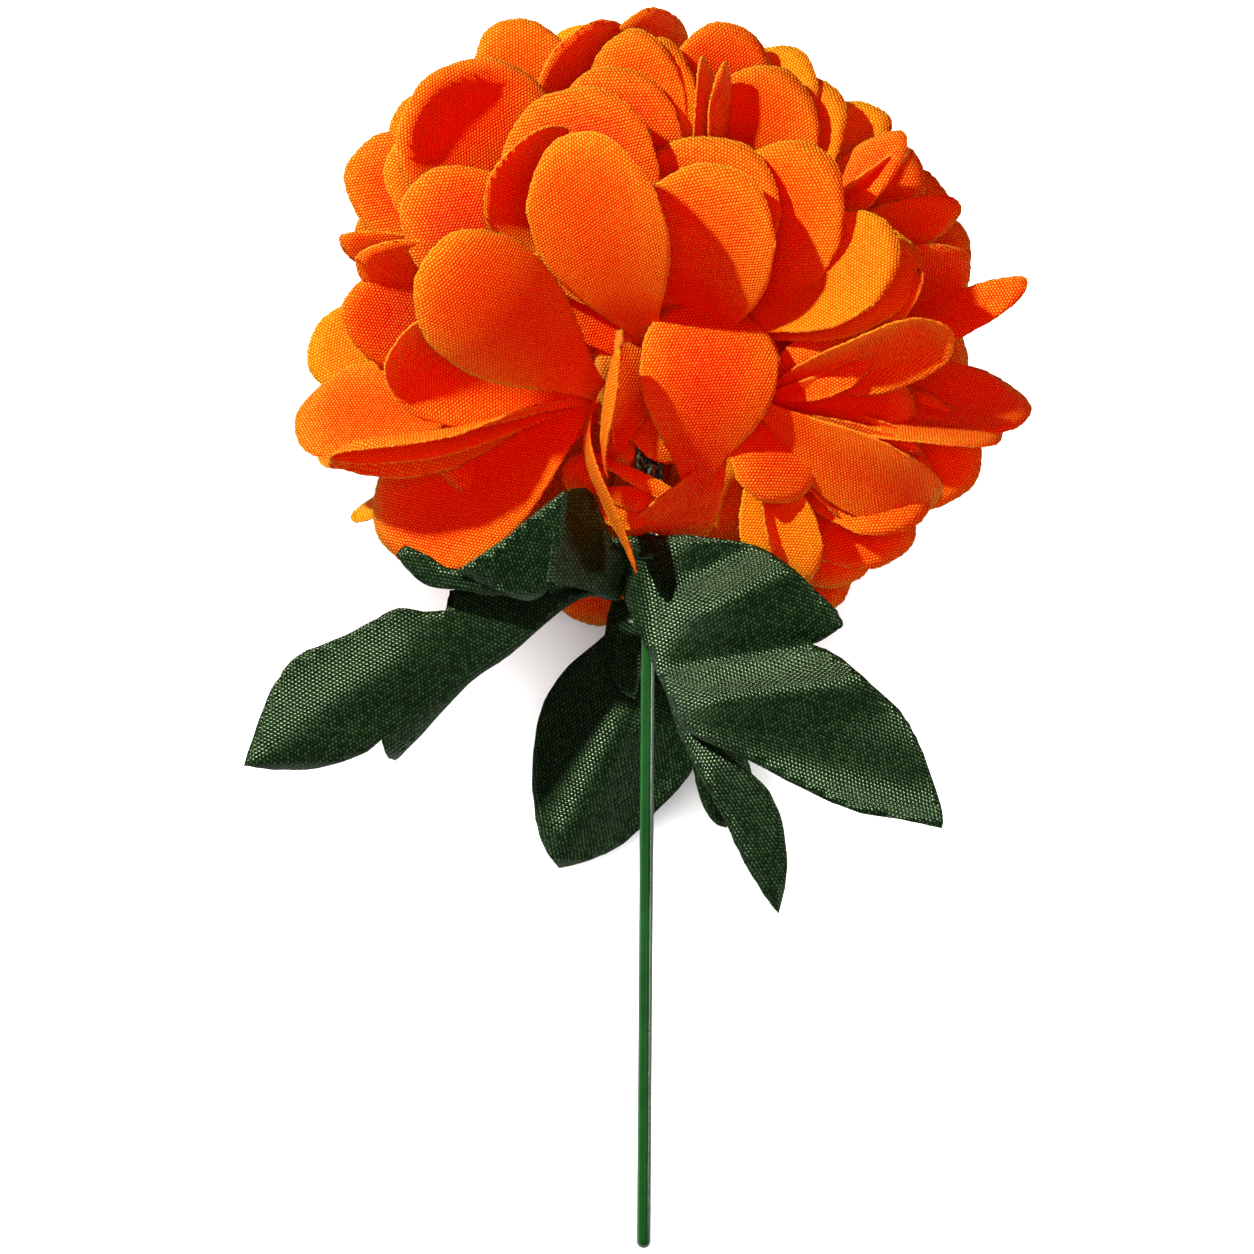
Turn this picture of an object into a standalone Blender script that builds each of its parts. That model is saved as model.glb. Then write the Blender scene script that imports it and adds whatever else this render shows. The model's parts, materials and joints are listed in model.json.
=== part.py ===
"""Artificial marigold pick: a fabric bloom and fabric leaves on a plastic-coated wire stem.

The flower frame has x across the bloom, y up the stem and z out of the bloom's face, in millimetres.
The finished pick lies on its back: it rests on the stem's round end and on two low petals behind.
"""
import math

import bmesh
import bpy
from mathutils import Matrix, Vector

MM = 0.001

# Stem and core
STEM_END = -148.8
STEM_RADIUS = 1.12
STEM_TOP = -6.0
SHEATH_TIP = 2.5
WIRE_RADIUS = 0.5
WIRE_TOP = -10.0
CLEAR = 0.3
TUBE_RADIUS = 2.25
TUBE_BOTTOM = -49.0
TUBE_TOP = 9.0
TUBE_FLANGE = 3.3
FLANGE_THICKNESS = 1.2
CAP_RADIUS = 3.4
CAP_THICKNESS = 1.6
CAP_RIM = 0.6
CAP_PEG = 8.0
ROUND_SIDES = 20

# Fabric
PETAL_THICKNESS = 0.6
LEAF_THICKNESS = 0.6
NECK = 0.16
SHOULDER = 0.62
WIDEST = 0.66
SPREAD = math.radians(76)

# Resting pose
LEAN = math.radians(16)

# Gathered root of the petals
HUB_LOW = -21.0
HUB_HIGH = 11.5
HUB_RADIUS = 14.0
HUB_SIDES = 12

# Points where the petals' narrow claws come together
HEART = (0, -4, 13)
RIGHT = (17, -13, 15)
LEFT = (-9, -13, 13)
GATHER_TIP = 1.6
GATHERS = (
    ((0, -5, 2), (0, -4, 15), 4.5),
    ((3, -10, 1), (18, -13, 16), 4.5),
    ((-2, -11, 2), (-10, -13, 15), 4.5),
    ((3, -10, 3), (12.2, -16.4, 14.6), 3.5),
    ((4, -11, 1), (16.6, -16.6, 15.2), 3.5),
)

FRONT = (0, 0, 1)
UPWARD = (0, 0.9, 0.5)
EDGE_ON = (1, 0, 0.2)

# Each petal: root, tip, width, facing, bow near root and tip, cup in degrees, twist in degrees
FRONT_PETALS = (
    (HEART, (-11, 28.5, 33), 22, (0.05, 0, 1), (-2, 4), 30, 0),
    ((6.5, -7, 8), (12, 25.2, 27), 24, (0.1, 0, 1), (-2, 4), 10, 0),
    ((5, -4, 7), (12.5, 29.8, 22), 25, (0.1, 0, 1), (-2, 4), 10, 0),
    ((9, -6, 7), (28, 26, 21), 24, (-0.3, 0.2, 1), (0, 3), 15, 0),
    ((-8, -12, 15), (-35.5, 10.5, 34), 22, (-0.1, 0.1, 1), (0, 4), -40, 0),
    ((12, -17, 14), (10, 0, 42), 20, (-0.3, -0.5, 1), (2, 4), -20, 0),
    ((9, -10, 13), (13, -44, 3), 18.5, (0.1, 0, 1), (-3, -4), 0, 0),
    ((-1.2, -5, 14.3), (-6.5, -30, 24), 12, (0.6, 0, 0.7), (2, 3), 30, 0),
    ((-9.9, -13.3, 14.3), (-2, -41.3, 28), 10, (-1, 0, 0.3), (3, 4), 0, 0),
    ((-4, -6, 10), (-15, 13, 24), 20, (0.4, 0, 1), (0, 3), 10, 0),
    ((-7, -17, 7), (0.2, -33, 8.6), 6, FRONT, (1, 1), 20, 0),
)
RIGHT_PETALS = (
    ((16, -1, 13), (38.5, 14, 25), 20, (-0.4, 0.5, 0.8), (0, 3), 0, 0),
    ((16, -3, 11), (42.2, 11.5, 20), 20, (-0.4, 0.5, 0.8), (0, 3), 0, 0),
    ((18, -13, 13), (43, 7, 24), 16, (-0.8, 0.7, 0.3), (0, 0), 10, 0),
    (RIGHT, (48, -0.5, 25), 18, (-0.1, 0.9, 0.5), (-2, 0), 10, 0),
    ((13, -6, 4), (51.5, 9, 6), 16, (-0.6, 0, 0.8), (0, 0), 10, 0),
    ((14, -8, 4), (60, 5.5, 0), 18, (-0.2, 1, 0.3), (-2, 0), 10, 0),
    ((12, -8, 0), (51, -5, -5), 22, FRONT, (0, 3), 10, 0),
    (RIGHT, (41.5, -16, 30), 18, (0.1, 0.4, 1), (0, 3), 20, 0),
    ((17, -12, 8), (60.5, -14, 6), 14, (0, 0.5, 0.9), (0, 2), 20, 0),
    ((16.6, -16.8, 14.8), (46.5, -29, 33), 18, (0, 0.35, 1), (0, 4), 20, 0),
    ((16.4, -16.2, 14.8), (36.5, -32.5, 36), 12, (-0.75, -0.3, 0.6), (2, 5), 20, 0),
    ((12, -14, 2), (52.5, -24, 8), 20, FRONT, (0, 3), 10, 0),
    ((12, -14, 2), (45, -30, 10), 18, FRONT, (0, 3), 10, 0),
    ((10, -15, 0), (41, -37, 8), 18, FRONT, (0, 3), 10, 0),
    ((10, -15, 2), (34.5, -41, 10), 17, FRONT, (0, 3), 10, 0),
    ((8, -15, -2), (29.5, -46, 0), 18, FRONT, (0, 3), 10, 0),
    ((11, -15, 7), (23.5, -46, 4), 19, (-0.3, 0, 1), (2, 3), 10, 0),
)
LEFT_PETALS = (
    (LEFT, (-42.5, -5.5, 27), 19, (0.1, -0.1, 1), (0, 3), 10, 0),
    ((-10, -13, 11), (-56.5, -18, 14), 20, (0.1, 0.7, 0.7), (0, 3), 20, 0),
    ((-10, -13, 12), (-53, -22, 20), 20, UPWARD, (-2, -2), 30, 0),
    (LEFT, (-42, -37, 0), 22, (0, 0.1, 1), (0, 3), 0, 0),
    ((-6, -14, 2), (-48, -32, 0), 8, UPWARD, (0, 0), 0, 0),
    ((-6, 4, 0), (-41, 34, -4), 18, FRONT, (0, 3), 10, 0),
    ((-6, 2, 4), (-48, 26, 6), 20, FRONT, (0, 3), 10, 0),
    ((-5, 2, 5), (-41, 26.5, 14), 19, FRONT, (0, 3), 10, 0),
    ((-5, -2, 7), (-39.5, 19, 27), 20, FRONT, (0, 3), -10, 0),
    ((-6, -4, 6), (-49.5, 11, 14), 18, (0, 0.8, 0.6), (0, 0), 10, 0),
    ((-6, -9, 8), (-46, 8, 22), 20, (0, 0.7, 0.7), (0, 0), 10, 0),
    ((-6, -8, 6), (-48.5, 3, 16), 20, FRONT, (0, 3), 10, 0),
    ((-8, -6, 0), (-55, -6.5, 0), 20, FRONT, (0, 3), 10, 0),
)
TOP_PETALS = (
    ((-3, -1, 8), (-16, 35.2, 26), 24, FRONT, (0, 3), 20, 0),
    ((-5, 0, 7), (-33, 38.8, 15), 25, (0.1, 0, 1), (0, 3), 30, 0),
    ((-4, 4, 2), (-27, 47, 3), 20, FRONT, (0, 3), 10, 0),
    ((-3, 6, -4), (-12, 47.5, -6), 20, FRONT, (0, 3), 10, 0),
    ((-1, 4, 4), (-10, 46.5, 9), 23, (0.3, 0, 1), (0, 3), 10, 0),
    ((1, 5, 7), (0, 50, 0), 20, FRONT, (0, 3), 10, 0),
    ((1, 2, 7), (-3.5, 45.3, 14), 20, FRONT, (0, 3), 10, 0),
    ((1, 1, 8), (-0.5, 40.5, 18), 18, FRONT, (0, 3), 10, 0),
    ((0, 0, 8), (-9, 39, 21), 21, FRONT, (0, 3), 20, 0),
    ((2, 2, 7), (9, 42, 14), 12, EDGE_ON, (0, 0), 10, 0),
    ((3, 2, 7), (12, 41, 16), 12, EDGE_ON, (0, 0), 10, 0),
    ((3, 4, 5), (13, 46.7, 5), 20, FRONT, (0, 3), 10, 0),
    ((4, 3, 6), (22, 40, 12), 20, FRONT, (0, 3), 10, 0),
    ((4, 5, -2), (23.5, 43.5, -4), 18, FRONT, (0, 3), 10, 0),
    ((5, 4, 2), (29, 36.7, 3), 18, FRONT, (0, 3), 10, 0),
    ((4, 5, -6), (36, 33, -8), 18, FRONT, (0, 3), 10, 0),
    ((7, 0, 5), (40.3, 29, 12), 11, (-0.3, 0.3, 0.6), (0, 0), 0, 0),
    ((8, 0, 4), (41, 26.3, 10), 12, (1, -0.6, 0.4), (0, 0), 0, 0),
    ((7, 4, 0), (43, 25, 0), 18, FRONT, (0, 3), 10, 0),
    ((6, 4, -5), (47.5, 21, -8), 18, FRONT, (0, 3), 10, 0),
    ((8, 0, 4), (49, 18.3, 5), 10, (0.3, -0.3, 1), (0, 0), 0, 0),
    ((8, 2, -3), (51, 12, -6), 20, FRONT, (0, 3), 10, 0),
)
LOW_PETALS = (
    ((-2, -16, -6), (-9.5, -49, -20), 18, FRONT, (0, 3), 10, 0),
    ((7, -15, -4), (16, -42, -12), 22, FRONT, (0, 3), 10, 0),
    ((-7, -15, -4), (-22, -38, -8), 20, FRONT, (0, 3), 10, 0),
)

# Layers behind: depth of the tips, reach sideways, number, turn of the first in degrees, slope
BACK_LAYERS = (
    (-14, 52, 10, 8, 0.1),
    (-26, 46, 7, 24, 0.26),
    (-35, 34, 5, 90, 0.26),
    (-40, 17, 3, 30, 0.26),
)
BACK_WIDTH = 22
BACK_FLATTEN = 0.87
BACK_WOBBLE = 2.5
BACK_ROOT = 5.5
FOOT_TIPS = ((-24, 17), (24, 17))
FOOT_ROOT = (5, 0, -7)
FOOT_WIDTH = 22
FOOT_SINK = 13

# Rows and columns of faces on a petal
FRONT_GRID = (3, 3)
BACK_GRID = (3, 2)
FOOT_GRID = (5, 3)

# Leaves: cut outlines as they hang, in the flower frame
RIGHT_LEAF = (
    (-8, -35.5), (-3.7, -35), (5, -34.7), (14.7, -35.7), (20.3, -38), (26, -42.7), (30, -46.7),
    (31, -49), (29, -50.5), (26.2, -52), (28.3, -52.8), (31.5, -54.7), (37, -59.5), (40.3, -62.7),
    (42.7, -66.7), (45, -72.3), (47, -78.7), (46.8, -81), (42, -80), (34, -78.7), (27.5, -76.3),
    (16.3, -70.7), (8.3, -67.2), (5, -64.6), (3.5, -61), (-0.5, -52.3), (-4.5, -43.5),
)
RIGHT_LOWER_LOBE = (
    (3, -60), (8.3, -65.5), (14, -70.5), (19.5, -75.5), (22, -82), (22.4, -89), (21.1, -95),
    (18.8, -92), (15.5, -86.7), (12.8, -81), (10.2, -76.3), (7.5, -71.5), (4.6, -65),
)
LEFT_LEAF = (
    (-5.8, -45), (-0.5, -41), (-1, -37), (-5, -38), (-9.3, -42.7), (-15.4, -41.4), (-24, -42.5), (-31.7, -43.8), (-32.3, -47),
    (-35.7, -47.2), (-39.7, -46.7), (-44.5, -49), (-49.3, -51.5), (-55.7, -54.2), (-58.9, -57.9),
    (-61.3, -62.7), (-64.3, -72), (-59.7, -72.6), (-52.5, -72.3), (-45.8, -70.2), (-42.4, -67.7),
    (-41.6, -70.2), (-40.3, -71), (-38.2, -69), (-28.5, -58.7), (-22, -54), (-14, -47), (-9.3, -44.5),
)
LEFT_UPPER_LOBE = (
    (-18.5, -43), (-22, -38), (-30.6, -40.4), (-34.9, -38.4), (-38.9, -36.6), (-40.2, -38.2),
    (-38, -41), (-34.9, -43.2), (-29.3, -43.8), (-23.7, -44.6),
)
LEFT_FLAP = (
    (-30.6, -40.8), (-23.7, -36), (-17.3, -30.7), (-13.4, -27.8), (-13, -29), (-13.6, -34),
    (-14.4, -38.7), (-16, -43.5), (-19.4, -45.3), (-25, -43.4),
)
MIDDLE_FOLD = (
    (-14.3, -28.5), (-11.7, -27.4), (-9, -28.3), (-6, -35.5), (-3, -39), (-4.8, -45.5),
    (-9.5, -43.6), (-16.2, -42.4),
)
BACK_LEAF = (
    (3, -36), (-3, -36), (-5, -46), (-6.9, -50.7), (-12.5, -55.5), (-16, -60.3), (-17.8, -65.9),
    (-18.4, -73.9), (-17.8, -80.3), (-16.5, -84.8), (-14, -88.3), (-9.3, -87), (-3.7, -84.3),
    (1.1, -79.5), (5.1, -75.5), (7.4, -72.2), (8.6, -77), (10.7, -80.6), (12.8, -81.6), (16, -77),
    (17, -73), (14, -66), (9, -56), (5, -46),
)
BACK_SMALL_LOBE = (
    (-2.5, -38), (-5.8, -45), (-6.9, -50.7), (-6.4, -54.7), (-4.5, -59.5), (-2, -61), (-0.8, -56),
    (0.5, -46), (1.5, -38),
)
LEAF_CELL = 9.0
WASHER_Y = -38.0
WASHER_RADIUS = 4.9
WASHER_THICKNESS = 1.0


def clear_scene():
    for item in list(bpy.data.objects):
        bpy.data.objects.remove(item, do_unlink=True)


def make_material(name, colour, roughness, metallic=0.0):
    material = bpy.data.materials.new(name)
    material.use_nodes = True
    shader = material.node_tree.nodes["Principled BSDF"]
    shader.inputs["Base Color"].default_value = (*colour, 1)
    shader.inputs["Roughness"].default_value = roughness
    shader.inputs["Metallic"].default_value = metallic
    return material


def new_object(name, mesh_maker, material):
    """Link a new object whose mesh is the finished bmesh."""
    mesh = bpy.data.meshes.new(name)
    mesh_maker.to_mesh(mesh)
    mesh_maker.free()
    item = bpy.data.objects.new(name, mesh)
    mesh.materials.append(material)
    bpy.context.scene.collection.objects.link(item)
    return item


def turned_solid(profile, sides):
    """Closed solid turned about the stem axis from a profile of (radius, height) pairs."""
    shape = bmesh.new()
    points = [shape.verts.new((radius, height, 0)) for radius, height in profile]
    edges = [shape.edges.new(pair) for pair in zip(points, points[1:])]
    if profile[0][0] > 0:
        edges.append(shape.edges.new((points[-1], points[0])))
    bmesh.ops.spin(shape, geom=points + edges, cent=(0, 0, 0), axis=(0, 1, 0), angle=math.tau,
                   steps=sides, use_merge=True, use_duplicate=False)
    bmesh.ops.remove_doubles(shape, verts=shape.verts, dist=1e-5)
    bmesh.ops.recalc_face_normals(shape, faces=shape.faces)
    return shape


def round_end(radius, low, steps=5):
    """Quarter circle from the axis at the low end up to the full radius."""
    arc = []
    for step in range(steps + 1):
        angle = math.pi / 2 * step / steps
        arc.append((radius * math.sin(angle), low + radius - radius * math.cos(angle)))
    return arc


def petal_point(petal, u, v):
    """Point of a petal's surface, u from root to tip and v from -1 to 1 across it."""
    root, tip, width, facing, bow, cup, twist = petal
    root, tip, facing = Vector(root), Vector(tip), Vector(facing)
    along = (tip - root).normalized()
    across = facing.cross(along).normalized()
    outward = along.cross(across)
    spread = SPREAD * v
    rise = min(1, u / SHOULDER)
    shape = NECK + (1 - NECK) * rise * rise * (3 - 2 * rise)
    offset = width / 2 * shape * math.sin(spread) / math.sin(SPREAD)
    reach = u * (WIDEST + (1 - WIDEST) * math.cos(spread))
    turn = math.radians(twist) * (reach - 0.5)
    side = across * math.cos(turn) + outward * math.sin(turn)
    normal = outward * math.cos(turn) - across * math.sin(turn)
    lift = 3 * reach * (1 - reach) ** 2 * bow[0] + 3 * reach ** 2 * (1 - reach) * bow[1]
    bend = math.radians(cup) / width
    if abs(bend) > 1e-6:
        lift += (1 - math.cos(bend * offset)) / bend
        offset = math.sin(bend * offset) / bend
    return root.lerp(tip, reach) + side * offset + normal * lift


def sheet_to_solid(shape, thickness):
    """Give a triangulated sheet its thickness, with the same triangles on both faces."""
    bmesh.ops.triangulate(shape, faces=shape.faces)
    bmesh.ops.recalc_face_normals(shape, faces=shape.faces)
    bmesh.ops.solidify(shape, geom=shape.faces[:], thickness=thickness)
    bmesh.ops.recalc_face_normals(shape, faces=shape.faces)


def petal_solid(petal, grid, pressed=False):
    rows, columns = grid
    shape = bmesh.new()
    bmesh.ops.create_grid(shape, x_segments=columns, y_segments=rows, size=1)
    for vertex in shape.verts:
        point = petal_point(petal, (vertex.co.y + 1) / 2, vertex.co.x)
        if pressed:
            point = press_flat(point)
        vertex.co = point
    sheet_to_solid(shape, PETAL_THICKNESS)
    return shape


def table_height(point):
    """Height of a point of the flower frame above the surface the pick lies on."""
    low_end = Vector((0, STEM_END + STEM_RADIUS, 0))
    above = (point.y - low_end.y) * math.sin(LEAN) + point.z * math.cos(LEAN)
    return above + STEM_RADIUS


def press_flat(point):
    """Move a point that would sink into the surface straight up onto it."""
    sunk = max(0, -table_height(point))
    return point + sunk * Vector((0, math.sin(LEAN), math.cos(LEAN)))


def back_petals():
    """Petals of the layers behind, by a rule: each layer is deeper and reaches less far."""
    petals = []
    for depth, reach, count, first, slope in BACK_LAYERS:
        for number in range(count):
            angle = math.radians(first + 360 * number / count)
            out = Vector((math.cos(angle), math.sin(angle) * BACK_FLATTEN))
            wobble = BACK_WOBBLE * math.sin(7.3 * number + depth)
            tip_y = out.y * reach - 1
            tip = (out.x * (reach + wobble), tip_y, depth + 0.8 * wobble - slope * tip_y)
            root = (out.x * BACK_ROOT, out.y * BACK_ROOT - 4, max(-7, 0.2 * depth - 1))
            facing = (out.y * 0.35, -out.x * 0.35, -1)
            petals.append((root, tip, BACK_WIDTH, facing, (0, 4), 15, 0))
    return petals


def foot_petals():
    """The two low petals that the bloom lies on."""
    petals = []
    for x, y in FOOT_TIPS:
        depth = -(y - STEM_END) * math.tan(LEAN) - FOOT_SINK
        root = (math.copysign(FOOT_ROOT[0], x), FOOT_ROOT[1], FOOT_ROOT[2])
        petals.append((root, (x, y, depth), FOOT_WIDTH, (0, -0.3, -1), (2, 4), 0, 0))
    return petals


def gather_solid(start, end, radius):
    """Tapered bundle of petal claws."""
    shape = bmesh.new()
    axis = Vector(end) - Vector(start)
    bmesh.ops.create_cone(shape, cap_ends=True, cap_tris=True, segments=6, radius1=radius,
                          radius2=GATHER_TIP, depth=axis.length)
    turn = axis.to_track_quat("Z", "Y").to_matrix().to_4x4()
    middle = Matrix.Translation((Vector(start) + Vector(end)) / 2)
    bmesh.ops.transform(shape, matrix=middle @ turn, verts=shape.verts)
    return shape


def hub_solid():
    profile = (
        (0, HUB_LOW), (HUB_RADIUS * 0.6, HUB_LOW + 2), (HUB_RADIUS, HUB_LOW + 11),
        (HUB_RADIUS, HUB_HIGH - 7.5), (HUB_RADIUS * 0.6, HUB_HIGH), (0, HUB_HIGH),
    )
    return turned_solid(profile, HUB_SIDES)


def joined(base, parts, bore=None):
    """Union of the base and its parts in one Boolean, then the bore is cut, and both are applied."""
    group = bpy.data.collections.new(base.name + "_parts")
    bpy.context.scene.collection.children.link(group)
    for part in parts:
        bpy.context.scene.collection.objects.unlink(part)
        group.objects.link(part)
    union = base.modifiers.new("Join", "BOOLEAN")
    union.operation = "UNION"
    union.operand_type = "COLLECTION"
    union.collection = group
    union.solver = "MANIFOLD"
    if bore:
        cut = base.modifiers.new("Bore", "BOOLEAN")
        cut.operation = "DIFFERENCE"
        cut.object = bore
        cut.solver = "MANIFOLD"
    graph = bpy.context.evaluated_depsgraph_get()
    mesh = bpy.data.meshes.new_from_object(base.evaluated_get(graph))
    base.modifiers.clear()
    base.data = mesh
    for part in parts:
        bpy.data.objects.remove(part, do_unlink=True)
    bpy.data.collections.remove(group)
    if bore:
        bpy.data.objects.remove(bore, do_unlink=True)
    keep_largest_body(base)


def keep_largest_body(item):
    """Drop loose scraps and filled-in hollows: only the largest connected body stays."""
    shape = bmesh.new()
    shape.from_mesh(item.data)
    bmesh.ops.triangulate(shape, faces=shape.faces)
    left = set(shape.verts)
    bodies = []
    while left:
        body = set()
        wave = [left.pop()]
        while wave:
            vertex = wave.pop()
            body.add(vertex)
            for edge in vertex.link_edges:
                other = edge.other_vert(vertex)
                if other in left:
                    left.discard(other)
                    wave.append(other)
        bodies.append(body)
    bodies.sort(key=len)
    spare = [vertex for body in bodies[:-1] for vertex in body]
    bmesh.ops.delete(shape, geom=spare, context="VERTS")
    shape.to_mesh(item.data)
    shape.free()


def build_bloom(material):
    shaped = FRONT_PETALS + RIGHT_PETALS + LEFT_PETALS + TOP_PETALS + LOW_PETALS
    solids = [petal_solid(petal, FRONT_GRID) for petal in shaped]
    solids += [petal_solid(petal, BACK_GRID) for petal in back_petals()]
    solids += [petal_solid(petal, FOOT_GRID, pressed=True) for petal in foot_petals()]
    solids += [gather_solid(*gather) for gather in GATHERS]
    parts = [new_object(f"petal_{number}", solid, material) for number, solid in enumerate(solids)]
    bloom = new_object("bloom", hub_solid(), material)
    tube_hole, cap_hole = TUBE_RADIUS + CLEAR, CAP_RADIUS + CLEAR
    bore_profile = ((0, TUBE_BOTTOM), (tube_hole, TUBE_BOTTOM), (tube_hole, TUBE_TOP),
                    (cap_hole, TUBE_TOP), (cap_hole, HUB_HIGH + 3), (0, HUB_HIGH + 3))
    bore = new_object("core_bore", turned_solid(bore_profile, ROUND_SIDES), material)
    joined(bloom, parts, bore)
    return bloom


def line_distance(x, y, start, end):
    """Signed distance from a line, and how far along it the point is, from 0 to 1."""
    dx, dy = end[0] - start[0], end[1] - start[1]
    length = math.hypot(dx, dy)
    along = ((x - start[0]) * dx + (y - start[1]) * dy) / length ** 2
    across = ((x - start[0]) * dy - (y - start[1]) * dx) / length
    return across, along


def crease(x, y, start, end, height, width):
    """Ridge, or valley where the height is negative, that fades to its sides and its ends."""
    across, along = line_distance(x, y, start, end)
    fade = max(0, min(1, along * 4, (1.15 - along) * 4))
    return height * fade * math.exp(-abs(across) / width)


def right_leaf_depth(x, y):
    depth = 4.5 + 0.04 * x
    if x > 0:
        depth += 11 * (1 - math.exp(-x / 16))
    depth += crease(x, y, (1.9, -55.5), (27, -52), -2.6, 3.5)
    depth += crease(x, y, (-2, -44.5), (18, -37.5), -1.4, 3)
    depth += crease(x, y, (4, -62), (46, -80), 1.5, 6)
    return depth


def right_lower_depth(x, y):
    return right_leaf_depth(x, y) - 0.3 - 0.08 * max(0, -62 - y)


def left_leaf_depth(x, y):
    across = line_distance(x, y, (-8, -43), (-42, -68))[0]
    depth = 4.2 + 2.5 * (1 - math.exp(min(0, x + 6) / 20))
    depth -= 0.55 * max(0, -across)
    depth += crease(x, y, (-30, -52), (-64, -72), 0.8, 4)
    return depth


def upper_lobe_depth(x, y):
    return 10.0 + 0.1 * (x + 30)


def flap_depth(x, y):
    across = line_distance(x, y, (-30.6, -41.5), (-18, -45.8))[0]
    return 10.6 + 1.9 * (1 - math.exp(-abs(across) / 2.5)) + 0.12 * max(0, y + 42)


def middle_depth(x, y):
    return 3.8 + 0.8 * max(0, -3 - x) + 0.02 * (y + 45)


def back_leaf_depth(x, y):
    depth = -4.2 - 0.17 * max(0, -40 - y)
    depth += crease(x, y, (-1, -58), (-14, -88), 2.2, 5)
    depth -= 0.12 * max(0, x - 5)
    return depth


def small_lobe_depth(x, y):
    return -4.3 + 0.02 * (-40 - y)


def leaf_solid(outline, depth):
    """Fabric leaf cut to an outline and hung in depth, split by a grid into small cells."""
    shape = bmesh.new()
    corners = [shape.verts.new((x, y, 0)) for x, y in outline]
    shape.faces.new(corners)
    for axis in (0, 1):
        low = min(corner[axis] for corner in outline)
        high = max(corner[axis] for corner in outline)
        for step in range(1, int((high - low) / LEAF_CELL) + 1):
            place = Vector((0, 0, 0))
            place[axis] = low + step * LEAF_CELL
            direction = Vector((0, 0, 0))
            direction[axis] = 1
            bmesh.ops.bisect_plane(shape, geom=shape.verts[:] + shape.edges[:] + shape.faces[:],
                                   dist=0.05, plane_co=place, plane_no=direction)
    bmesh.ops.remove_doubles(shape, verts=shape.verts, dist=0.3)
    bmesh.ops.triangulate(shape, faces=shape.faces)
    for vertex in shape.verts:
        vertex.co.z = depth(vertex.co.x, vertex.co.y)
    sheet_to_solid(shape, LEAF_THICKNESS)
    return shape


def build_leaves(material):
    leaves = (
        (RIGHT_LEAF, right_leaf_depth), (RIGHT_LOWER_LOBE, right_lower_depth),
        (LEFT_LEAF, left_leaf_depth), (LEFT_UPPER_LOBE, upper_lobe_depth),
        (LEFT_FLAP, flap_depth), (MIDDLE_FOLD, middle_depth),
        (BACK_LEAF, back_leaf_depth), (BACK_SMALL_LOBE, small_lobe_depth),
    )
    parts = []
    for number, (outline, depth) in enumerate(leaves):
        parts.append(new_object(f"leaf_{number}", leaf_solid(outline, depth), material))
    low, high = WASHER_Y - WASHER_THICKNESS / 2, WASHER_Y + WASHER_THICKNESS / 2
    washer = ((0, low), (WASHER_RADIUS, low), (WASHER_RADIUS, high), (0, high))
    whorl = new_object("leaf_whorl", turned_solid(washer, ROUND_SIDES), material)
    tube_hole = TUBE_RADIUS + CLEAR
    bore_profile = ((0, TUBE_BOTTOM), (tube_hole, TUBE_BOTTOM), (tube_hole, 0), (0, 0))
    bore = new_object("whorl_bore", turned_solid(bore_profile, ROUND_SIDES), material)
    joined(whorl, parts, bore)
    return whorl


def build_stem(sheath_material, wire_material):
    wall = WIRE_RADIUS + CLEAR
    low = STEM_END
    floor = low + SHEATH_TIP
    sheath = round_end(STEM_RADIUS, low)
    sheath += [(STEM_RADIUS, STEM_TOP), (wall, STEM_TOP), (wall, floor), (0, floor)]
    stem = new_object("stem_sheath", turned_solid(sheath, ROUND_SIDES), sheath_material)
    bottom = floor + CLEAR
    wire = ((0, bottom), (WIRE_RADIUS, bottom), (WIRE_RADIUS, WIRE_TOP), (0, WIRE_TOP))
    core = new_object("stem_wire", turned_solid(wire, ROUND_SIDES), wire_material)
    return [stem, core]


def build_core(tube_material):
    bore = STEM_RADIUS + CLEAR
    flange_top = TUBE_BOTTOM + FLANGE_THICKNESS
    tube = (
        (bore, TUBE_BOTTOM), (TUBE_FLANGE, TUBE_BOTTOM), (TUBE_FLANGE, flange_top),
        (TUBE_RADIUS, flange_top), (TUBE_RADIUS, TUBE_TOP), (bore, TUBE_TOP),
    )
    body = new_object("core_tube", turned_solid(tube, ROUND_SIDES), tube_material)
    under = TUBE_TOP + CLEAR
    cap = (
        (0, TUBE_TOP - CAP_PEG), (bore - CLEAR, TUBE_TOP - CAP_PEG), (bore - CLEAR, under),
        (CAP_RADIUS, under), (CAP_RADIUS, under + CAP_RIM), (CAP_RADIUS * 0.6, under + CAP_THICKNESS),
        (0, under + CAP_THICKNESS),
    )
    button = new_object("top_cap", turned_solid(cap, ROUND_SIDES), tube_material)
    return [body, button]


def lay_down(items):
    """Turn the pick onto its back and put the origin on the surface, under the middle of its box."""
    turn = Matrix.Scale(MM, 4) @ Matrix.Rotation(LEAN, 4, "X")
    for item in items:
        item.data.transform(turn)
    corners = [vertex.co for item in items for vertex in item.data.vertices]
    low = Vector([min(corner[axis] for corner in corners) for axis in range(3)])
    high = Vector([max(corner[axis] for corner in corners) for axis in range(3)])
    shift = Matrix.Translation((-(low.x + high.x) / 2, -(low.y + high.y) / 2, -low.z))
    for item in items:
        item.data.transform(shift)
        item.data.update()


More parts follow.
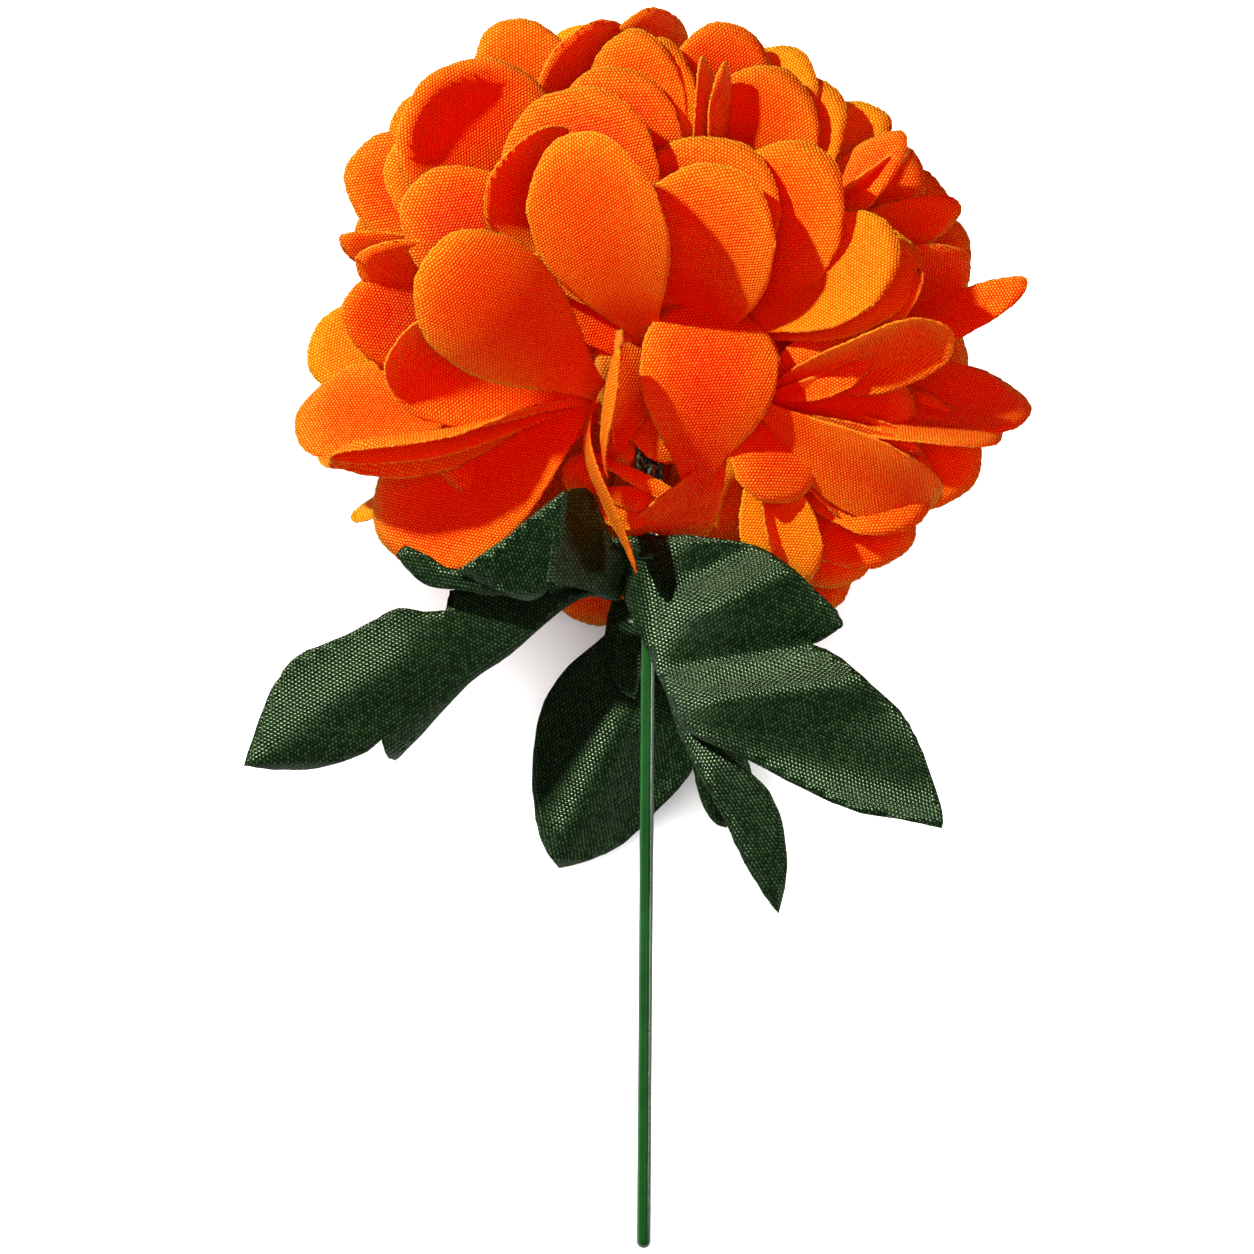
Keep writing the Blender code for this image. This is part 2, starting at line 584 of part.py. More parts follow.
def main():
    clear_scene()
    petal_fabric = make_material("petal_fabric", (0.95, 0.16, 0.01), 0.8)
    leaf_fabric = make_material("leaf_fabric", (0.02, 0.05, 0.02), 0.7)
    stem_plastic = make_material("stem_plastic", (0.01, 0.12, 0.02), 0.3)
    core_plastic = make_material("core_plastic", (0.01, 0.05, 0.02), 0.4)
    wire_steel = make_material("wire_steel", (0.5, 0.5, 0.5), 0.4, 1.0)
    items = build_stem(stem_plastic, wire_steel)
    items += build_core(core_plastic)
    items.append(build_bloom(petal_fabric))
    items.append(build_leaves(leaf_fabric))
    lay_down(items)


main()
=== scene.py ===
import json
import math
import random

import bmesh
import bpy
from mathutils import Matrix, Vector

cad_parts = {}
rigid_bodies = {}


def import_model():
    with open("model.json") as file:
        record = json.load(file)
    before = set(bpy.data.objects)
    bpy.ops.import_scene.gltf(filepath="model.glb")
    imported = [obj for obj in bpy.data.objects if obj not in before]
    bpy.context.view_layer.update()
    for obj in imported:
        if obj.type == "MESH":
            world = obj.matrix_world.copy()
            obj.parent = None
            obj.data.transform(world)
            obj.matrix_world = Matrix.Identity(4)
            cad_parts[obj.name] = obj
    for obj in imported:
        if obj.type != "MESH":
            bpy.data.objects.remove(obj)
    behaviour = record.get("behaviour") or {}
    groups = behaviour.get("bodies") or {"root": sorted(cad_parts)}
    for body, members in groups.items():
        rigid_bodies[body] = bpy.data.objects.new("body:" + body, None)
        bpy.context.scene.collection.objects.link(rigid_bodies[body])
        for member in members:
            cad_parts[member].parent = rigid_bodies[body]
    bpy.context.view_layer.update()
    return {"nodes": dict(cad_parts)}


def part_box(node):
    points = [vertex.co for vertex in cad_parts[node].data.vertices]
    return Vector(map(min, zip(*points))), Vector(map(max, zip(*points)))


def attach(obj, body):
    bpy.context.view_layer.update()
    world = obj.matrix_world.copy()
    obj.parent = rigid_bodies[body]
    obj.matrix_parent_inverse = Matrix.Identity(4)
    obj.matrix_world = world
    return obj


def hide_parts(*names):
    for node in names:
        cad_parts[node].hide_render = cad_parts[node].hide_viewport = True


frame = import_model()


# Stem wire: drawn steel, cut to length and closed inside the plastic coating. It stiffens the stem
# and lets it be bent by hand. Its own solid shows its shape, so it only gets its finish here.
STEEL_GREY = (0.55, 0.55, 0.54, 1)
STEEL_ROUGHNESS = (0.25, 0.45)
DRAW_MARKS_PER_METRE = (9000, 300, 9000)


def new_material(name):
    """A new material with its nodes, its links and its Principled BSDF."""
    material = bpy.data.materials.new(name)
    material.use_nodes = True
    nodes, links = material.node_tree.nodes, material.node_tree.links
    return material, nodes, links, nodes["Principled BSDF"]


steel, nodes, links, shader = new_material("drawn_steel")
position = nodes.new("ShaderNodeTexCoord")
stretch = nodes.new("ShaderNodeMapping")
stretch.inputs["Scale"].default_value = DRAW_MARKS_PER_METRE
draw_marks = nodes.new("ShaderNodeTexNoise")
draw_marks.inputs["Scale"].default_value = 1.0
wear = nodes.new("ShaderNodeMapRange")
wear.inputs["To Min"].default_value, wear.inputs["To Max"].default_value = STEEL_ROUGHNESS
links.new(position.outputs["Object"], stretch.inputs["Vector"])
links.new(stretch.outputs["Vector"], draw_marks.inputs["Vector"])
links.new(draw_marks.outputs["Fac"], wear.inputs["Value"])
links.new(wear.outputs["Result"], shader.inputs["Roughness"])
shader.inputs["Base Color"].default_value = STEEL_GREY
shader.inputs["Metallic"].default_value = 1.0
frame["nodes"]["stem_wire"].data.materials.clear()
frame["nodes"]["stem_wire"].data.materials.append(steel)


# Stem coating: green plastic drawn over the wire, shiny, and melted round at its lower end.
# The pick lies on its back, and its pieces are drawn in millimetres as the flower stands: x across
# the bloom, y up the stem, z out of its face.
LEAN = math.radians(16)
STEM_RADIUS = 1.12
STEM_END = -148.8
STEM_TOP = -6
BORE = 0.8
BORE_FLOOR = STEM_END + 2.5
END_STEPS = 10
FIRST_RING = -140
RING_GAP = 8
STEM_SIDES = 40
DARK_GREEN = (0.006, 0.075, 0.010, 1)
FRESH_GREEN = (0.016, 0.15, 0.022, 1)
COATING_ROUGHNESS = (0.2, 0.34)
LUMPS_PER_METRE = 260
LUMP_HEIGHT = 0.0003
stem_low, stem_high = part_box("stem_sheath")
end_ball = Vector(((stem_low.x + stem_high.x) / 2, stem_low.y + STEM_RADIUS / 1000,
                   stem_low.z + STEM_RADIUS / 1000))
laid_down = (Matrix.Translation(end_ball) @ Matrix.Rotation(LEAN, 4, "X") @ Matrix.Scale(0.001, 4)
             @ Matrix.Translation((0, -STEM_END - STEM_RADIUS, 0)))


def finished(name, shape, material, smooth=True):
    """Lays a finished piece on the table and links it under its name."""
    bmesh.ops.transform(shape, matrix=laid_down, verts=shape.verts)
    mesh = bpy.data.meshes.new(name)
    shape.to_mesh(mesh)
    shape.free()
    mesh.materials.append(material)
    mesh.polygons.foreach_set("use_smooth", [smooth] * len(mesh.polygons))
    piece = bpy.data.objects.new(name, mesh)
    bpy.context.scene.collection.objects.link(piece)
    return piece


def turned(profile, sides):
    """A shape turned about the stem's axis from pairs of radius and height."""
    shape = bmesh.new()
    points = [shape.verts.new((radius, height, 0)) for radius, height in profile]
    edges = [shape.edges.new(pair) for pair in zip(points, points[1:])]
    bmesh.ops.spin(shape, geom=points + edges, cent=(0, 0, 0), axis=(0, 1, 0), angle=math.tau,
                   steps=sides, use_merge=True, use_duplicate=False)
    bmesh.ops.remove_doubles(shape, verts=shape.verts, dist=1e-4)
    bmesh.ops.recalc_face_normals(shape, faces=shape.faces)
    return shape


coating = []
for step in range(END_STEPS + 1):
    turn = math.pi / 2 * step / END_STEPS
    coating.append((STEM_RADIUS * math.sin(turn), STEM_END + STEM_RADIUS * (1 - math.cos(turn))))
coating += [(STEM_RADIUS, y) for y in range(FIRST_RING, STEM_TOP, RING_GAP)]
coating += [(STEM_RADIUS, STEM_TOP), (BORE, STEM_TOP), (BORE, BORE_FLOOR), (0, BORE_FLOOR)]
green_plastic, nodes, links, shader = new_material("green_plastic")
position = nodes.new("ShaderNodeTexCoord")
lumps = nodes.new("ShaderNodeTexNoise")
lumps.inputs["Scale"].default_value = LUMPS_PER_METRE
lumps.inputs["Detail"].default_value = 2
shade = nodes.new("ShaderNodeValToRGB")
shade.color_ramp.elements[0].color = DARK_GREEN
shade.color_ramp.elements[1].color = FRESH_GREEN
surface = nodes.new("ShaderNodeBump")
surface.inputs["Strength"].default_value = 0.35
surface.inputs["Distance"].default_value = LUMP_HEIGHT
gloss = nodes.new("ShaderNodeMapRange")
gloss.inputs["To Min"].default_value, gloss.inputs["To Max"].default_value = COATING_ROUGHNESS
links.new(position.outputs["Object"], lumps.inputs["Vector"])
links.new(lumps.outputs["Fac"], shade.inputs["Fac"])
links.new(shade.outputs["Color"], shader.inputs["Base Color"])
links.new(lumps.outputs["Fac"], surface.inputs["Height"])
links.new(surface.outputs["Normal"], shader.inputs["Normal"])
links.new(lumps.outputs["Fac"], gloss.inputs["Value"])
links.new(gloss.outputs["Result"], shader.inputs["Roughness"])
shader.inputs["Coat Weight"].default_value = 0.4
shader.inputs["Coat Roughness"].default_value = 0.12
stem = finished("stem_coating", turned(coating, STEM_SIDES), green_plastic)
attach(stem, "root")
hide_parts("stem_sheath")


# Core tube and its cap: dark green plastic moulded with fine glitter. The leaves and the petals are
# threaded on the tube, and the cap is pushed into its upper end.
TUBE_RADIUS = 2.25
TUBE_BOTTOM = -49
TUBE_TOP = 9
TUBE_BORE = 1.42
FLANGE_RADIUS = 3.3
FLANGE_TOP = TUBE_BOTTOM + 1.2
FLANGE_CORNER = 0.2
TUBE_RING_GAP = 5
TUBE_SIDES = 48
PLAIN_GREEN = (0.006, 0.03, 0.012, 1)
FLAKE_GREEN = (0.42, 0.6, 0.4, 1)
FLAKES_PER_METRE = 2600
GLITTER_ABOVE = (0.74, 0.8)
FLAKE_HEIGHT = 0.0002
tube_side = [(TUBE_BORE, TUBE_BOTTOM), (FLANGE_RADIUS - FLANGE_CORNER, TUBE_BOTTOM),
             (FLANGE_RADIUS, TUBE_BOTTOM + FLANGE_CORNER), (FLANGE_RADIUS, FLANGE_TOP - FLANGE_CORNER),
             (FLANGE_RADIUS - FLANGE_CORNER, FLANGE_TOP), (TUBE_RADIUS, FLANGE_TOP)]
tube_side += [(TUBE_RADIUS, y) for y in range(TUBE_BOTTOM + TUBE_RING_GAP, TUBE_TOP, TUBE_RING_GAP)]
tube_side += [(TUBE_RADIUS, TUBE_TOP), (TUBE_BORE, TUBE_TOP), (TUBE_BORE, TUBE_BOTTOM)]
glitter_plastic, nodes, links, shader = new_material("glitter_plastic")
position = nodes.new("ShaderNodeTexCoord")
flakes = nodes.new("ShaderNodeTexVoronoi")
flakes.inputs["Scale"].default_value = FLAKES_PER_METRE
sparkle = nodes.new("ShaderNodeMapRange")
sparkle.inputs["From Min"].default_value, sparkle.inputs["From Max"].default_value = GLITTER_ABOVE
flake_draw = nodes.new("ShaderNodeSeparateColor")
flake_colour = nodes.new("ShaderNodeMix")
flake_colour.data_type = "RGBA"
flake_colour.inputs["A"].default_value = PLAIN_GREEN
flake_colour.inputs["B"].default_value = FLAKE_GREEN
flake_tilt = nodes.new("ShaderNodeBump")
flake_tilt.inputs["Strength"].default_value = 0.6
flake_tilt.inputs["Distance"].default_value = FLAKE_HEIGHT
links.new(position.outputs["Object"], flakes.inputs["Vector"])
links.new(flakes.outputs["Color"], flake_draw.inputs["Color"])
links.new(flake_draw.outputs["Red"], sparkle.inputs["Value"])
links.new(sparkle.outputs["Result"], flake_colour.inputs["Factor"])
links.new(sparkle.outputs["Result"], shader.inputs["Metallic"])
links.new(flake_colour.outputs["Result"], shader.inputs["Base Color"])
links.new(flake_draw.outputs["Green"], flake_tilt.inputs["Height"])
links.new(flake_tilt.outputs["Normal"], shader.inputs["Normal"])
shader.inputs["Roughness"].default_value = 0.3
tube = finished("glitter_tube", turned(tube_side, TUBE_SIDES), glitter_plastic)
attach(tube, "root")
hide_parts("core_tube")
frame["nodes"]["top_cap"].data.materials.clear()
frame["nodes"]["top_cap"].data.materials.append(glitter_plastic)


# Leaves: dark green polyester woven from stiff shiny thread, die-cut in three groups of lobes round
# one hole, pushed onto the core tube and creased by hand.
# The weave is rows of thread nubs, each row half a nub along from the last. Cloth is a place on the
# flat cloth in millimetres, Pitch the distance between nubs, Drift how far threads wander,
# Roundness how steep a nub is, and Faintest the height of the lowest nub against the highest. It gives
# Nub, the height of the thread, Tilt, its slope for a normal map, and Fluff, a slow unevenness.
WEAVE_SOCKETS = (("Cloth", "INPUT", "Vector"), ("Pitch", "INPUT", "Float"), ("Drift", "INPUT", "Float"),
                 ("Roundness", "INPUT", "Float"), ("Faintest", "INPUT", "Float"),
                 ("Nub", "OUTPUT", "Float"), ("Tilt", "OUTPUT", "Color"), ("Fluff", "OUTPUT", "Float"))
# Threads wander in two waves: how many to the millimetre, and their share of the drift
WANDERS = ((0.5, 1.0), (2.4, 0.22))
ROW_HEIGHT = 0.86
NUB_BLUNTNESS = 0.8
FLUFF_PER_MM = 0.25
cloth_weave = bpy.data.node_groups.new("cloth_weave", "ShaderNodeTree")
for socket, side, kind in WEAVE_SOCKETS:
    cloth_weave.interface.new_socket(socket, in_out=side, socket_type="NodeSocket" + kind)
nodes, links = cloth_weave.nodes, cloth_weave.links
cloth_in = nodes.new("NodeGroupInput")
cloth_out = nodes.new("NodeGroupOutput")


def weave_math(operation, *values):
    """One Math node of the weave, wired to sockets or set to numbers."""
    node = nodes.new("ShaderNodeMath")
    node.operation = operation
    for slot, value in enumerate(values):
        if isinstance(value, (int, float)):
            node.inputs[slot].default_value = value
        else:
            links.new(value, node.inputs[slot])
    return node.outputs["Value"]


wandered = cloth_in.outputs["Cloth"]
for scale, amount in WANDERS:
    wander = nodes.new("ShaderNodeTexNoise")
    wander.inputs["Scale"].default_value = scale
    wander.inputs["Detail"].default_value = 1
    centred = nodes.new("ShaderNodeVectorMath")
    centred.operation = "SUBTRACT"
    centred.inputs[1].default_value = (0.5, 0.5, 0.5)
    drift = nodes.new("ShaderNodeVectorMath")
    drift.operation = "SCALE"
    moved = nodes.new("ShaderNodeVectorMath")
    links.new(cloth_in.outputs["Cloth"], wander.inputs["Vector"])
    links.new(wander.outputs["Color"], centred.inputs[0])
    links.new(centred.outputs["Vector"], drift.inputs[0])
    links.new(weave_math("MULTIPLY", cloth_in.outputs["Drift"], amount), drift.inputs["Scale"])
    links.new(wandered, moved.inputs[0])
    links.new(drift.outputs["Vector"], moved.inputs[1])
    wandered = moved.outputs["Vector"]
parted = nodes.new("ShaderNodeSeparateXYZ")
links.new(wandered, parted.inputs["Vector"])
row_height = weave_math("MULTIPLY", cloth_in.outputs["Pitch"], ROW_HEIGHT)
up = weave_math("DIVIDE", parted.outputs["Y"], row_height)
row = weave_math("FLOOR", up)
along = weave_math("DIVIDE", parted.outputs["X"], cloth_in.outputs["Pitch"])
along = weave_math("MULTIPLY_ADD", row, 0.5, along)
across_turn = weave_math("MULTIPLY", weave_math("FRACT", along), math.pi)
up_turn = weave_math("MULTIPLY", weave_math("FRACT", up), math.pi)
across_nub = weave_math("SINE", across_turn)
up_nub = weave_math("SINE", up_turn)
slope = weave_math("MULTIPLY", cloth_in.outputs["Roundness"], -0.5)
across_fall = weave_math("MULTIPLY", weave_math("COSINE", across_turn), up_nub)
up_fall = weave_math("MULTIPLY", weave_math("COSINE", up_turn), across_nub)
across_slope = weave_math("MULTIPLY", across_fall, slope)
up_slope = weave_math("MULTIPLY", up_fall, slope)
tilt = nodes.new("ShaderNodeCombineColor")
links.new(weave_math("ADD", across_slope, 0.5), tilt.inputs["Red"])
links.new(weave_math("ADD", up_slope, 0.5), tilt.inputs["Green"])
tilt.inputs["Blue"].default_value = 1.0
links.new(tilt.outputs["Color"], cloth_out.inputs["Tilt"])
cell = nodes.new("ShaderNodeCombineXYZ")
links.new(weave_math("FLOOR", along), cell.inputs["X"])
links.new(row, cell.inputs["Y"])
uneven = nodes.new("ShaderNodeTexWhiteNoise")
links.new(cell.outputs["Vector"], uneven.inputs["Vector"])
nub_size = nodes.new("ShaderNodeMapRange")
links.new(cloth_in.outputs["Faintest"], nub_size.inputs["To Min"])
links.new(uneven.outputs["Value"], nub_size.inputs["Value"])
nub = weave_math("POWER", weave_math("MULTIPLY", across_nub, up_nub), NUB_BLUNTNESS)
links.new(weave_math("MULTIPLY", nub, nub_size.outputs["Result"]), cloth_out.inputs["Nub"])
fluff = nodes.new("ShaderNodeTexNoise")
fluff.inputs["Scale"].default_value = FLUFF_PER_MM
fluff.inputs["Detail"].default_value = 4
links.new(cloth_in.outputs["Cloth"], fluff.inputs["Vector"])
links.new(fluff.outputs["Fac"], cloth_out.inputs["Fluff"])


def placed_weave(nodes, links, shader, pitch, drift, roundness, faintest):
    """The weave on a piece's own cloth coordinates, with its relief on the piece's shader."""
    cloth = nodes.new("ShaderNodeUVMap")
    cloth.uv_map = "cloth"
    weave = nodes.new("ShaderNodeGroup")
    weave.node_tree = cloth_weave
    weave.inputs["Pitch"].default_value = pitch
    weave.inputs["Drift"].default_value = drift
    weave.inputs["Roundness"].default_value = roundness
    weave.inputs["Faintest"].default_value = faintest
    relief = nodes.new("ShaderNodeNormalMap")
    relief.uv_map = "cloth"
    links.new(cloth.outputs["UV"], weave.inputs["Cloth"])
    links.new(weave.outputs["Tilt"], relief.inputs["Color"])
    links.new(relief.outputs["Normal"], shader.inputs["Normal"])
    return weave


LEAF_PITCH = 0.64
# Thread tops lighter than the gaps: partly the thread's own colour, partly a painted glint of light on
# the raised threads.
BETWEEN_THREADS_GREEN = (0.002, 0.013, 0.003, 1)
THREAD_AND_GLINT_GREEN = (0.06, 0.13, 0.04, 1)
THREAD_ROUGHNESS = (0.23, 0.34)
leaf_cloth, nodes, links, shader = new_material("leaf_cloth")
weave = placed_weave(nodes, links, shader, LEAF_PITCH, drift=0.4, roundness=0.42, faintest=0.4)
thread_colour_and_highlight = nodes.new("ShaderNodeValToRGB")
thread_colour_and_highlight.color_ramp.elements[0].color = BETWEEN_THREADS_GREEN
thread_colour_and_highlight.color_ramp.elements[0].position = 0.3
thread_colour_and_highlight.color_ramp.elements[1].color = THREAD_AND_GLINT_GREEN
thread_colour_and_highlight.color_ramp.elements[1].position = 0.9
shine = nodes.new("ShaderNodeMapRange")
shine.inputs["To Min"].default_value, shine.inputs["To Max"].default_value = THREAD_ROUGHNESS
links.new(weave.outputs["Nub"], thread_colour_and_highlight.inputs["Fac"])
links.new(thread_colour_and_highlight.outputs["Color"], shader.inputs["Base Color"])
links.new(weave.outputs["Fluff"], shine.inputs["Value"])
links.new(shine.outputs["Result"], shader.inputs["Roughness"])
shader.inputs["Specular IOR Level"].default_value = 0.55
shader.inputs["Specular Tint"].default_value = (0.72, 1.0, 0.6, 1)

# Outlines of the lobes as they are cut, x and y of the standing flower.
RIGHT_LEAF = (
    (-8, -35.5), (-3.7, -35), (5, -34.7), (14.7, -35.7), (20.3, -38), (26, -42.7), (30, -46.7),
    (31, -49), (29, -50.5), (26.2, -52), (28.3, -52.8), (31.5, -54.7), (37, -59.5), (40.3, -62.7),
    (42.7, -66.7), (45, -72.3), (47, -78.7), (46.8, -81), (42, -80), (34, -78.7), (27.5, -76.3),
    (16.3, -70.7), (8.3, -67.2), (5, -64.6), (3.5, -61), (-0.5, -52.3), (-4.5, -43.5),
)
RIGHT_LOWER_LOBE = (
    (3, -60), (8.3, -65.5), (14, -70.5), (19.5, -75.5), (22, -82), (22.4, -89), (21.1, -95),
    (18.8, -92), (15.5, -86.7), (12.8, -81), (10.2, -76.3), (7.5, -71.5), (4.6, -65),
)
LEFT_LEAF = (
    (-5.8, -45), (-3, -42), (-3, -38), (-6, -38.5), (-9.3, -42.7), (-15.4, -41.4), (-24, -42.5),
    (-31.7, -43.8), (-32.3, -47), (-35.7, -47.2), (-39.7, -46.7), (-44.5, -49), (-49.3, -51.5),
    (-55.7, -54.2), (-58.9, -57.9), (-61.3, -62.7), (-64.3, -72), (-59.7, -72.6), (-52.5, -72.3),
    (-45.8, -70.2), (-42.4, -67.7), (-41.6, -70.2), (-40.3, -71), (-38.2, -69), (-28.5, -58.7),
    (-22, -54), (-14, -47), (-9.3, -44.5),
)
LEFT_UPPER_LOBE = (
    (-18.5, -43), (-22, -38), (-30.6, -40.4), (-34.9, -38.4), (-38.9, -36.6), (-40.2, -38.2),
    (-38, -41), (-34.9, -43.2), (-29.3, -43.8), (-23.7, -44.6),
)
LEFT_FLAP = (
    (-30.6, -40.8), (-23.7, -36), (-17.3, -30.7), (-13.4, -27.8), (-13, -29), (-13.6, -34),
    (-14.4, -38.7), (-16, -43.5), (-19.4, -45.3), (-25, -43.4),
)
MIDDLE_FOLD = (
    (-14.3, -28.5), (-11.7, -27.4), (-9, -28.3), (-6, -35.5), (-3, -39), (-4.8, -45.5),
    (-9.5, -43.6), (-16.2, -42.4),
)
BACK_LEAF = (
    (3, -36), (-3, -36), (-5, -46), (-6.9, -50.7), (-12.5, -55.5), (-16, -60.3), (-17.8, -65.9),
    (-18.4, -73.9), (-17.8, -80.3), (-16.5, -84.8), (-14, -88.3), (-9.3, -87), (-3.7, -84.3),
    (1.1, -79.5), (5.1, -75.5), (7.4, -72.2), (8.6, -77), (10.7, -80.6), (12.8, -81.6), (16, -77),
    (17, -73), (14, -66), (9, -56), (5, -46),
)
BACK_SMALL_LOBE = (
    (-2.5, -38), (-5.8, -45), (-6.9, -50.7), (-6.4, -54.7), (-4.5, -59.5), (-2, -61), (-0.8, -56),
    (0.5, -46), (1.5, -38),
)


def off_line(x, y, start, end):
    """How far to the side of a line a point is, and how far along it, from 0 to 1."""
    dx, dy = end[0] - start[0], end[1] - start[1]
    length = math.hypot(dx, dy)
    along = ((x - start[0]) * dx + (y - start[1]) * dy) / length ** 2
    return ((x - start[0]) * dy - (y - start[1]) * dx) / length, along


def crease(x, y, start, end, height, width):
    """Ridge, or valley where the height is negative, that fades to its sides and its ends."""
    across, along = off_line(x, y, start, end)
    fade = max(0, min(1, along * 4, (1.15 - along) * 4))
    return height * fade * math.exp(-abs(across) / width)


def fold(x, y, start, end, height, width):
    """The same with a soft round top."""
    across, along = off_line(x, y, start, end)
    fade = max(0, min(1, along * 3 + 0.3, (1.3 - along) * 3))
    return height * fade * math.exp(-(across / width) ** 2)


# Each lobe's depth, z of the standing flower, is a slow slope with creases and folds laid over it.
# A crease or a fold is given by the two ends of its line, its height and its width.
RIGHT_START = 4.2
RIGHT_RISE = 11
RIGHT_RISE_WIDTH = 16
RIGHT_CREASE = ((1.9, -56.2), (28, -51.6), -2.6, 2.6)
RIGHT_FOLDS = (
    ((5, -42.5), (18, -35.5), -1.5, 3), ((7, -48), (22, -40.5), 1.1, 3),
    ((4, -61), (32, -58.5), 1.9, 3.6), ((14, -68), (44, -76), -1.3, 5),
)
RIGHT_LOWER_CREASE = ((5, -66), (20.5, -94), 1.8, 4)
RIGHT_LOWER_SHARE = 0.64
LEFT_START = 3.9
LEFT_RISE = 2.5
LEFT_RISE_WIDTH = 20
LEFT_BEND_LINE = ((-8, -43), (-42, -68))
LEFT_FOLDS = (((-30, -50), (-62, -70), 1.6, 5), ((-36, -66), (-64, -72), 0.9, 3))
FLAP_HINGE = ((-30.6, -41.5), (-18, -45.8))
BACK_CREASE = ((0, -58), (-14, -86), 2.4, 4.5)
BACK_FOLD = ((4, -68), (-4, -84), -1.2, 3)


def right_leaf_depth(x, y):
    """Rises from the tube in a round bend, creased along its middle, with its tip turned up."""
    depth = RIGHT_START + 0.04 * x + RIGHT_RISE * (1 - math.exp(-max(0, x) / RIGHT_RISE_WIDTH))
    depth += crease(x, y, *RIGHT_CREASE) + sum(fold(x, y, *each) for each in RIGHT_FOLDS)
    return depth + 0.16 * max(0, x - 30) + 0.08 * max(0, -60 - y)


def right_lower_depth(x, y):
    """Lies just under the big right lobe and falls towards its tip."""
    rise = RIGHT_LOWER_SHARE * RIGHT_RISE * (1 - math.exp(-max(0, x) / RIGHT_RISE_WIDTH))
    depth = RIGHT_START + rise - 0.5 - 0.08 * max(0, -62 - y)
    return depth + crease(x, y, *RIGHT_LOWER_CREASE)


def left_leaf_depth(x, y):
    """Rises to the left, and is bent down below the line where it was folded."""
    across = off_line(x, y, *LEFT_BEND_LINE)[0]
    depth = LEFT_START + LEFT_RISE * (1 - math.exp(min(0, x + 6) / LEFT_RISE_WIDTH))
    return depth - 0.55 * max(0, -across) + sum(fold(x, y, *each) for each in LEFT_FOLDS)


def upper_lobe_depth(x, y):
    """Flat, and a little lower towards its tip."""
    return 10.0 + 0.1 * (x + 30)


def flap_depth(x, y):
    """Folded over on the left lobe, rounded along its hinge and higher towards its end."""
    across = off_line(x, y, *FLAP_HINGE)[0]
    return 10.6 + 1.9 * (1 - math.exp(-abs(across) / 2.5)) + 0.12 * max(0, y + 42)


def middle_depth(x, y):
    """The doubled cloth between the tube and the flap, steep towards the flap."""
    return 3.6 + 0.8 * max(0, -3 - x) + 0.02 * (y + 45)


def back_leaf_depth(x, y):
    """Hangs behind the stem and falls towards the table."""
    depth = -4.2 - 0.17 * max(0, -40 - y) - 0.12 * max(0, x - 5)
    return depth + crease(x, y, *BACK_CREASE) + fold(x, y, *BACK_FOLD)


def small_lobe_depth(x, y):
    """Nearly flat, close behind the stem and in front of the back lobe."""
    return -4.3 + 0.02 * (-40 - y)


LEAF_CELL = 1.6
LEAF_THICKNESS = 0.35
FRAY = 0.09
SHARP_CORNER = math.radians(58)
CURVE_STEPS = 4


def cut_line(outline):
    """The outline as cut, smooth through its given points except at the sharp ones."""
    points = [Vector(point) for point in outline]
    line = []
    for number, here in enumerate(points):
        before, after, last = (points[number - 1], points[(number + 1) % len(points)],
                               points[(number + 2) % len(points)])
        sharp_here = (here - before).angle(after - here) > SHARP_CORNER
        sharp_next = (after - here).angle(last - after) > SHARP_CORNER
        lead = (after - here) / 6 if sharp_here else (after - before) / 6
        tail = (here - after) / 6 if sharp_next else (here - last) / 6
        for step in range(CURVE_STEPS):
            t = step / CURVE_STEPS
            line.append(here * (1 - t) ** 3 + 3 * (here + lead) * t * (1 - t) ** 2
                        + 3 * (after + tail) * t ** 2 * (1 - t) + after * t ** 3)
    return line


def cut_area(outline):
    """Area inside an outline, in square millimetres."""
    pairs = zip(outline, outline[1:] + outline[:1])
    return abs(sum(x * next_y - next_x * y for (x, y), (next_x, next_y) in pairs)) / 2


def leaf_piece(name, lobes, seed):
    """One group of lobes: each is cut flat, cut across into small cells and then hung in depth."""
    draw = random.Random(seed)
    shape = bmesh.new()
    cloth = shape.loops.layers.uv.new("cloth")
    for outline, depth, grain in lobes:
        line = cut_line(outline)
        old = set(shape.faces)
        frayed = [(x + draw.uniform(-FRAY, FRAY), y + draw.uniform(-FRAY, FRAY), 0) for x, y in line]
        shape.faces.new([shape.verts.new(corner) for corner in frayed])
        for axis in (0, 1):
            low = min(corner[axis] for corner in line)
            high = max(corner[axis] for corner in line)
            for step in range(1, int((high - low) / LEAF_CELL) + 1):
                place, direction = Vector((0, 0, 0)), Vector((0, 0, 0))
                place[axis], direction[axis] = low + step * LEAF_CELL, 1
                lobe = [face for face in shape.faces if face not in old]
                parts = lobe + list({edge for face in lobe for edge in face.edges})
                parts += list({vertex for face in lobe for vertex in face.verts})
                bmesh.ops.bisect_plane(shape, geom=parts, dist=0.01, plane_co=place,
                                       plane_no=direction)
        lobe = [face for face in shape.faces if face not in old]
        bmesh.ops.triangulate(shape, faces=[face for face in lobe if len(face.verts) > 4])
        lobe = [face for face in shape.faces if face not in old]
        turn = Matrix.Rotation(math.radians(grain), 2)
        for face in lobe:
            for loop in face.loops:
                loop[cloth].uv = turn @ loop.vert.co.xy
        for vertex in {vertex for face in lobe for vertex in face.verts}:
            vertex.co.z = depth(vertex.co.x, vertex.co.y) - LEAF_THICKNESS / 2
    bmesh.ops.recalc_face_normals(shape, faces=shape.faces)
    piece = finished(name, shape, leaf_cloth)
    wall = piece.modifiers.new("Cloth thickness", "SOLIDIFY")
    wall.thickness = LEAF_THICKNESS / 1000
    wall.offset = 0
    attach(piece, "root")
    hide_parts("leaf_whorl")
    area = sum(cut_area(outline) for outline, depth, grain in lobes)


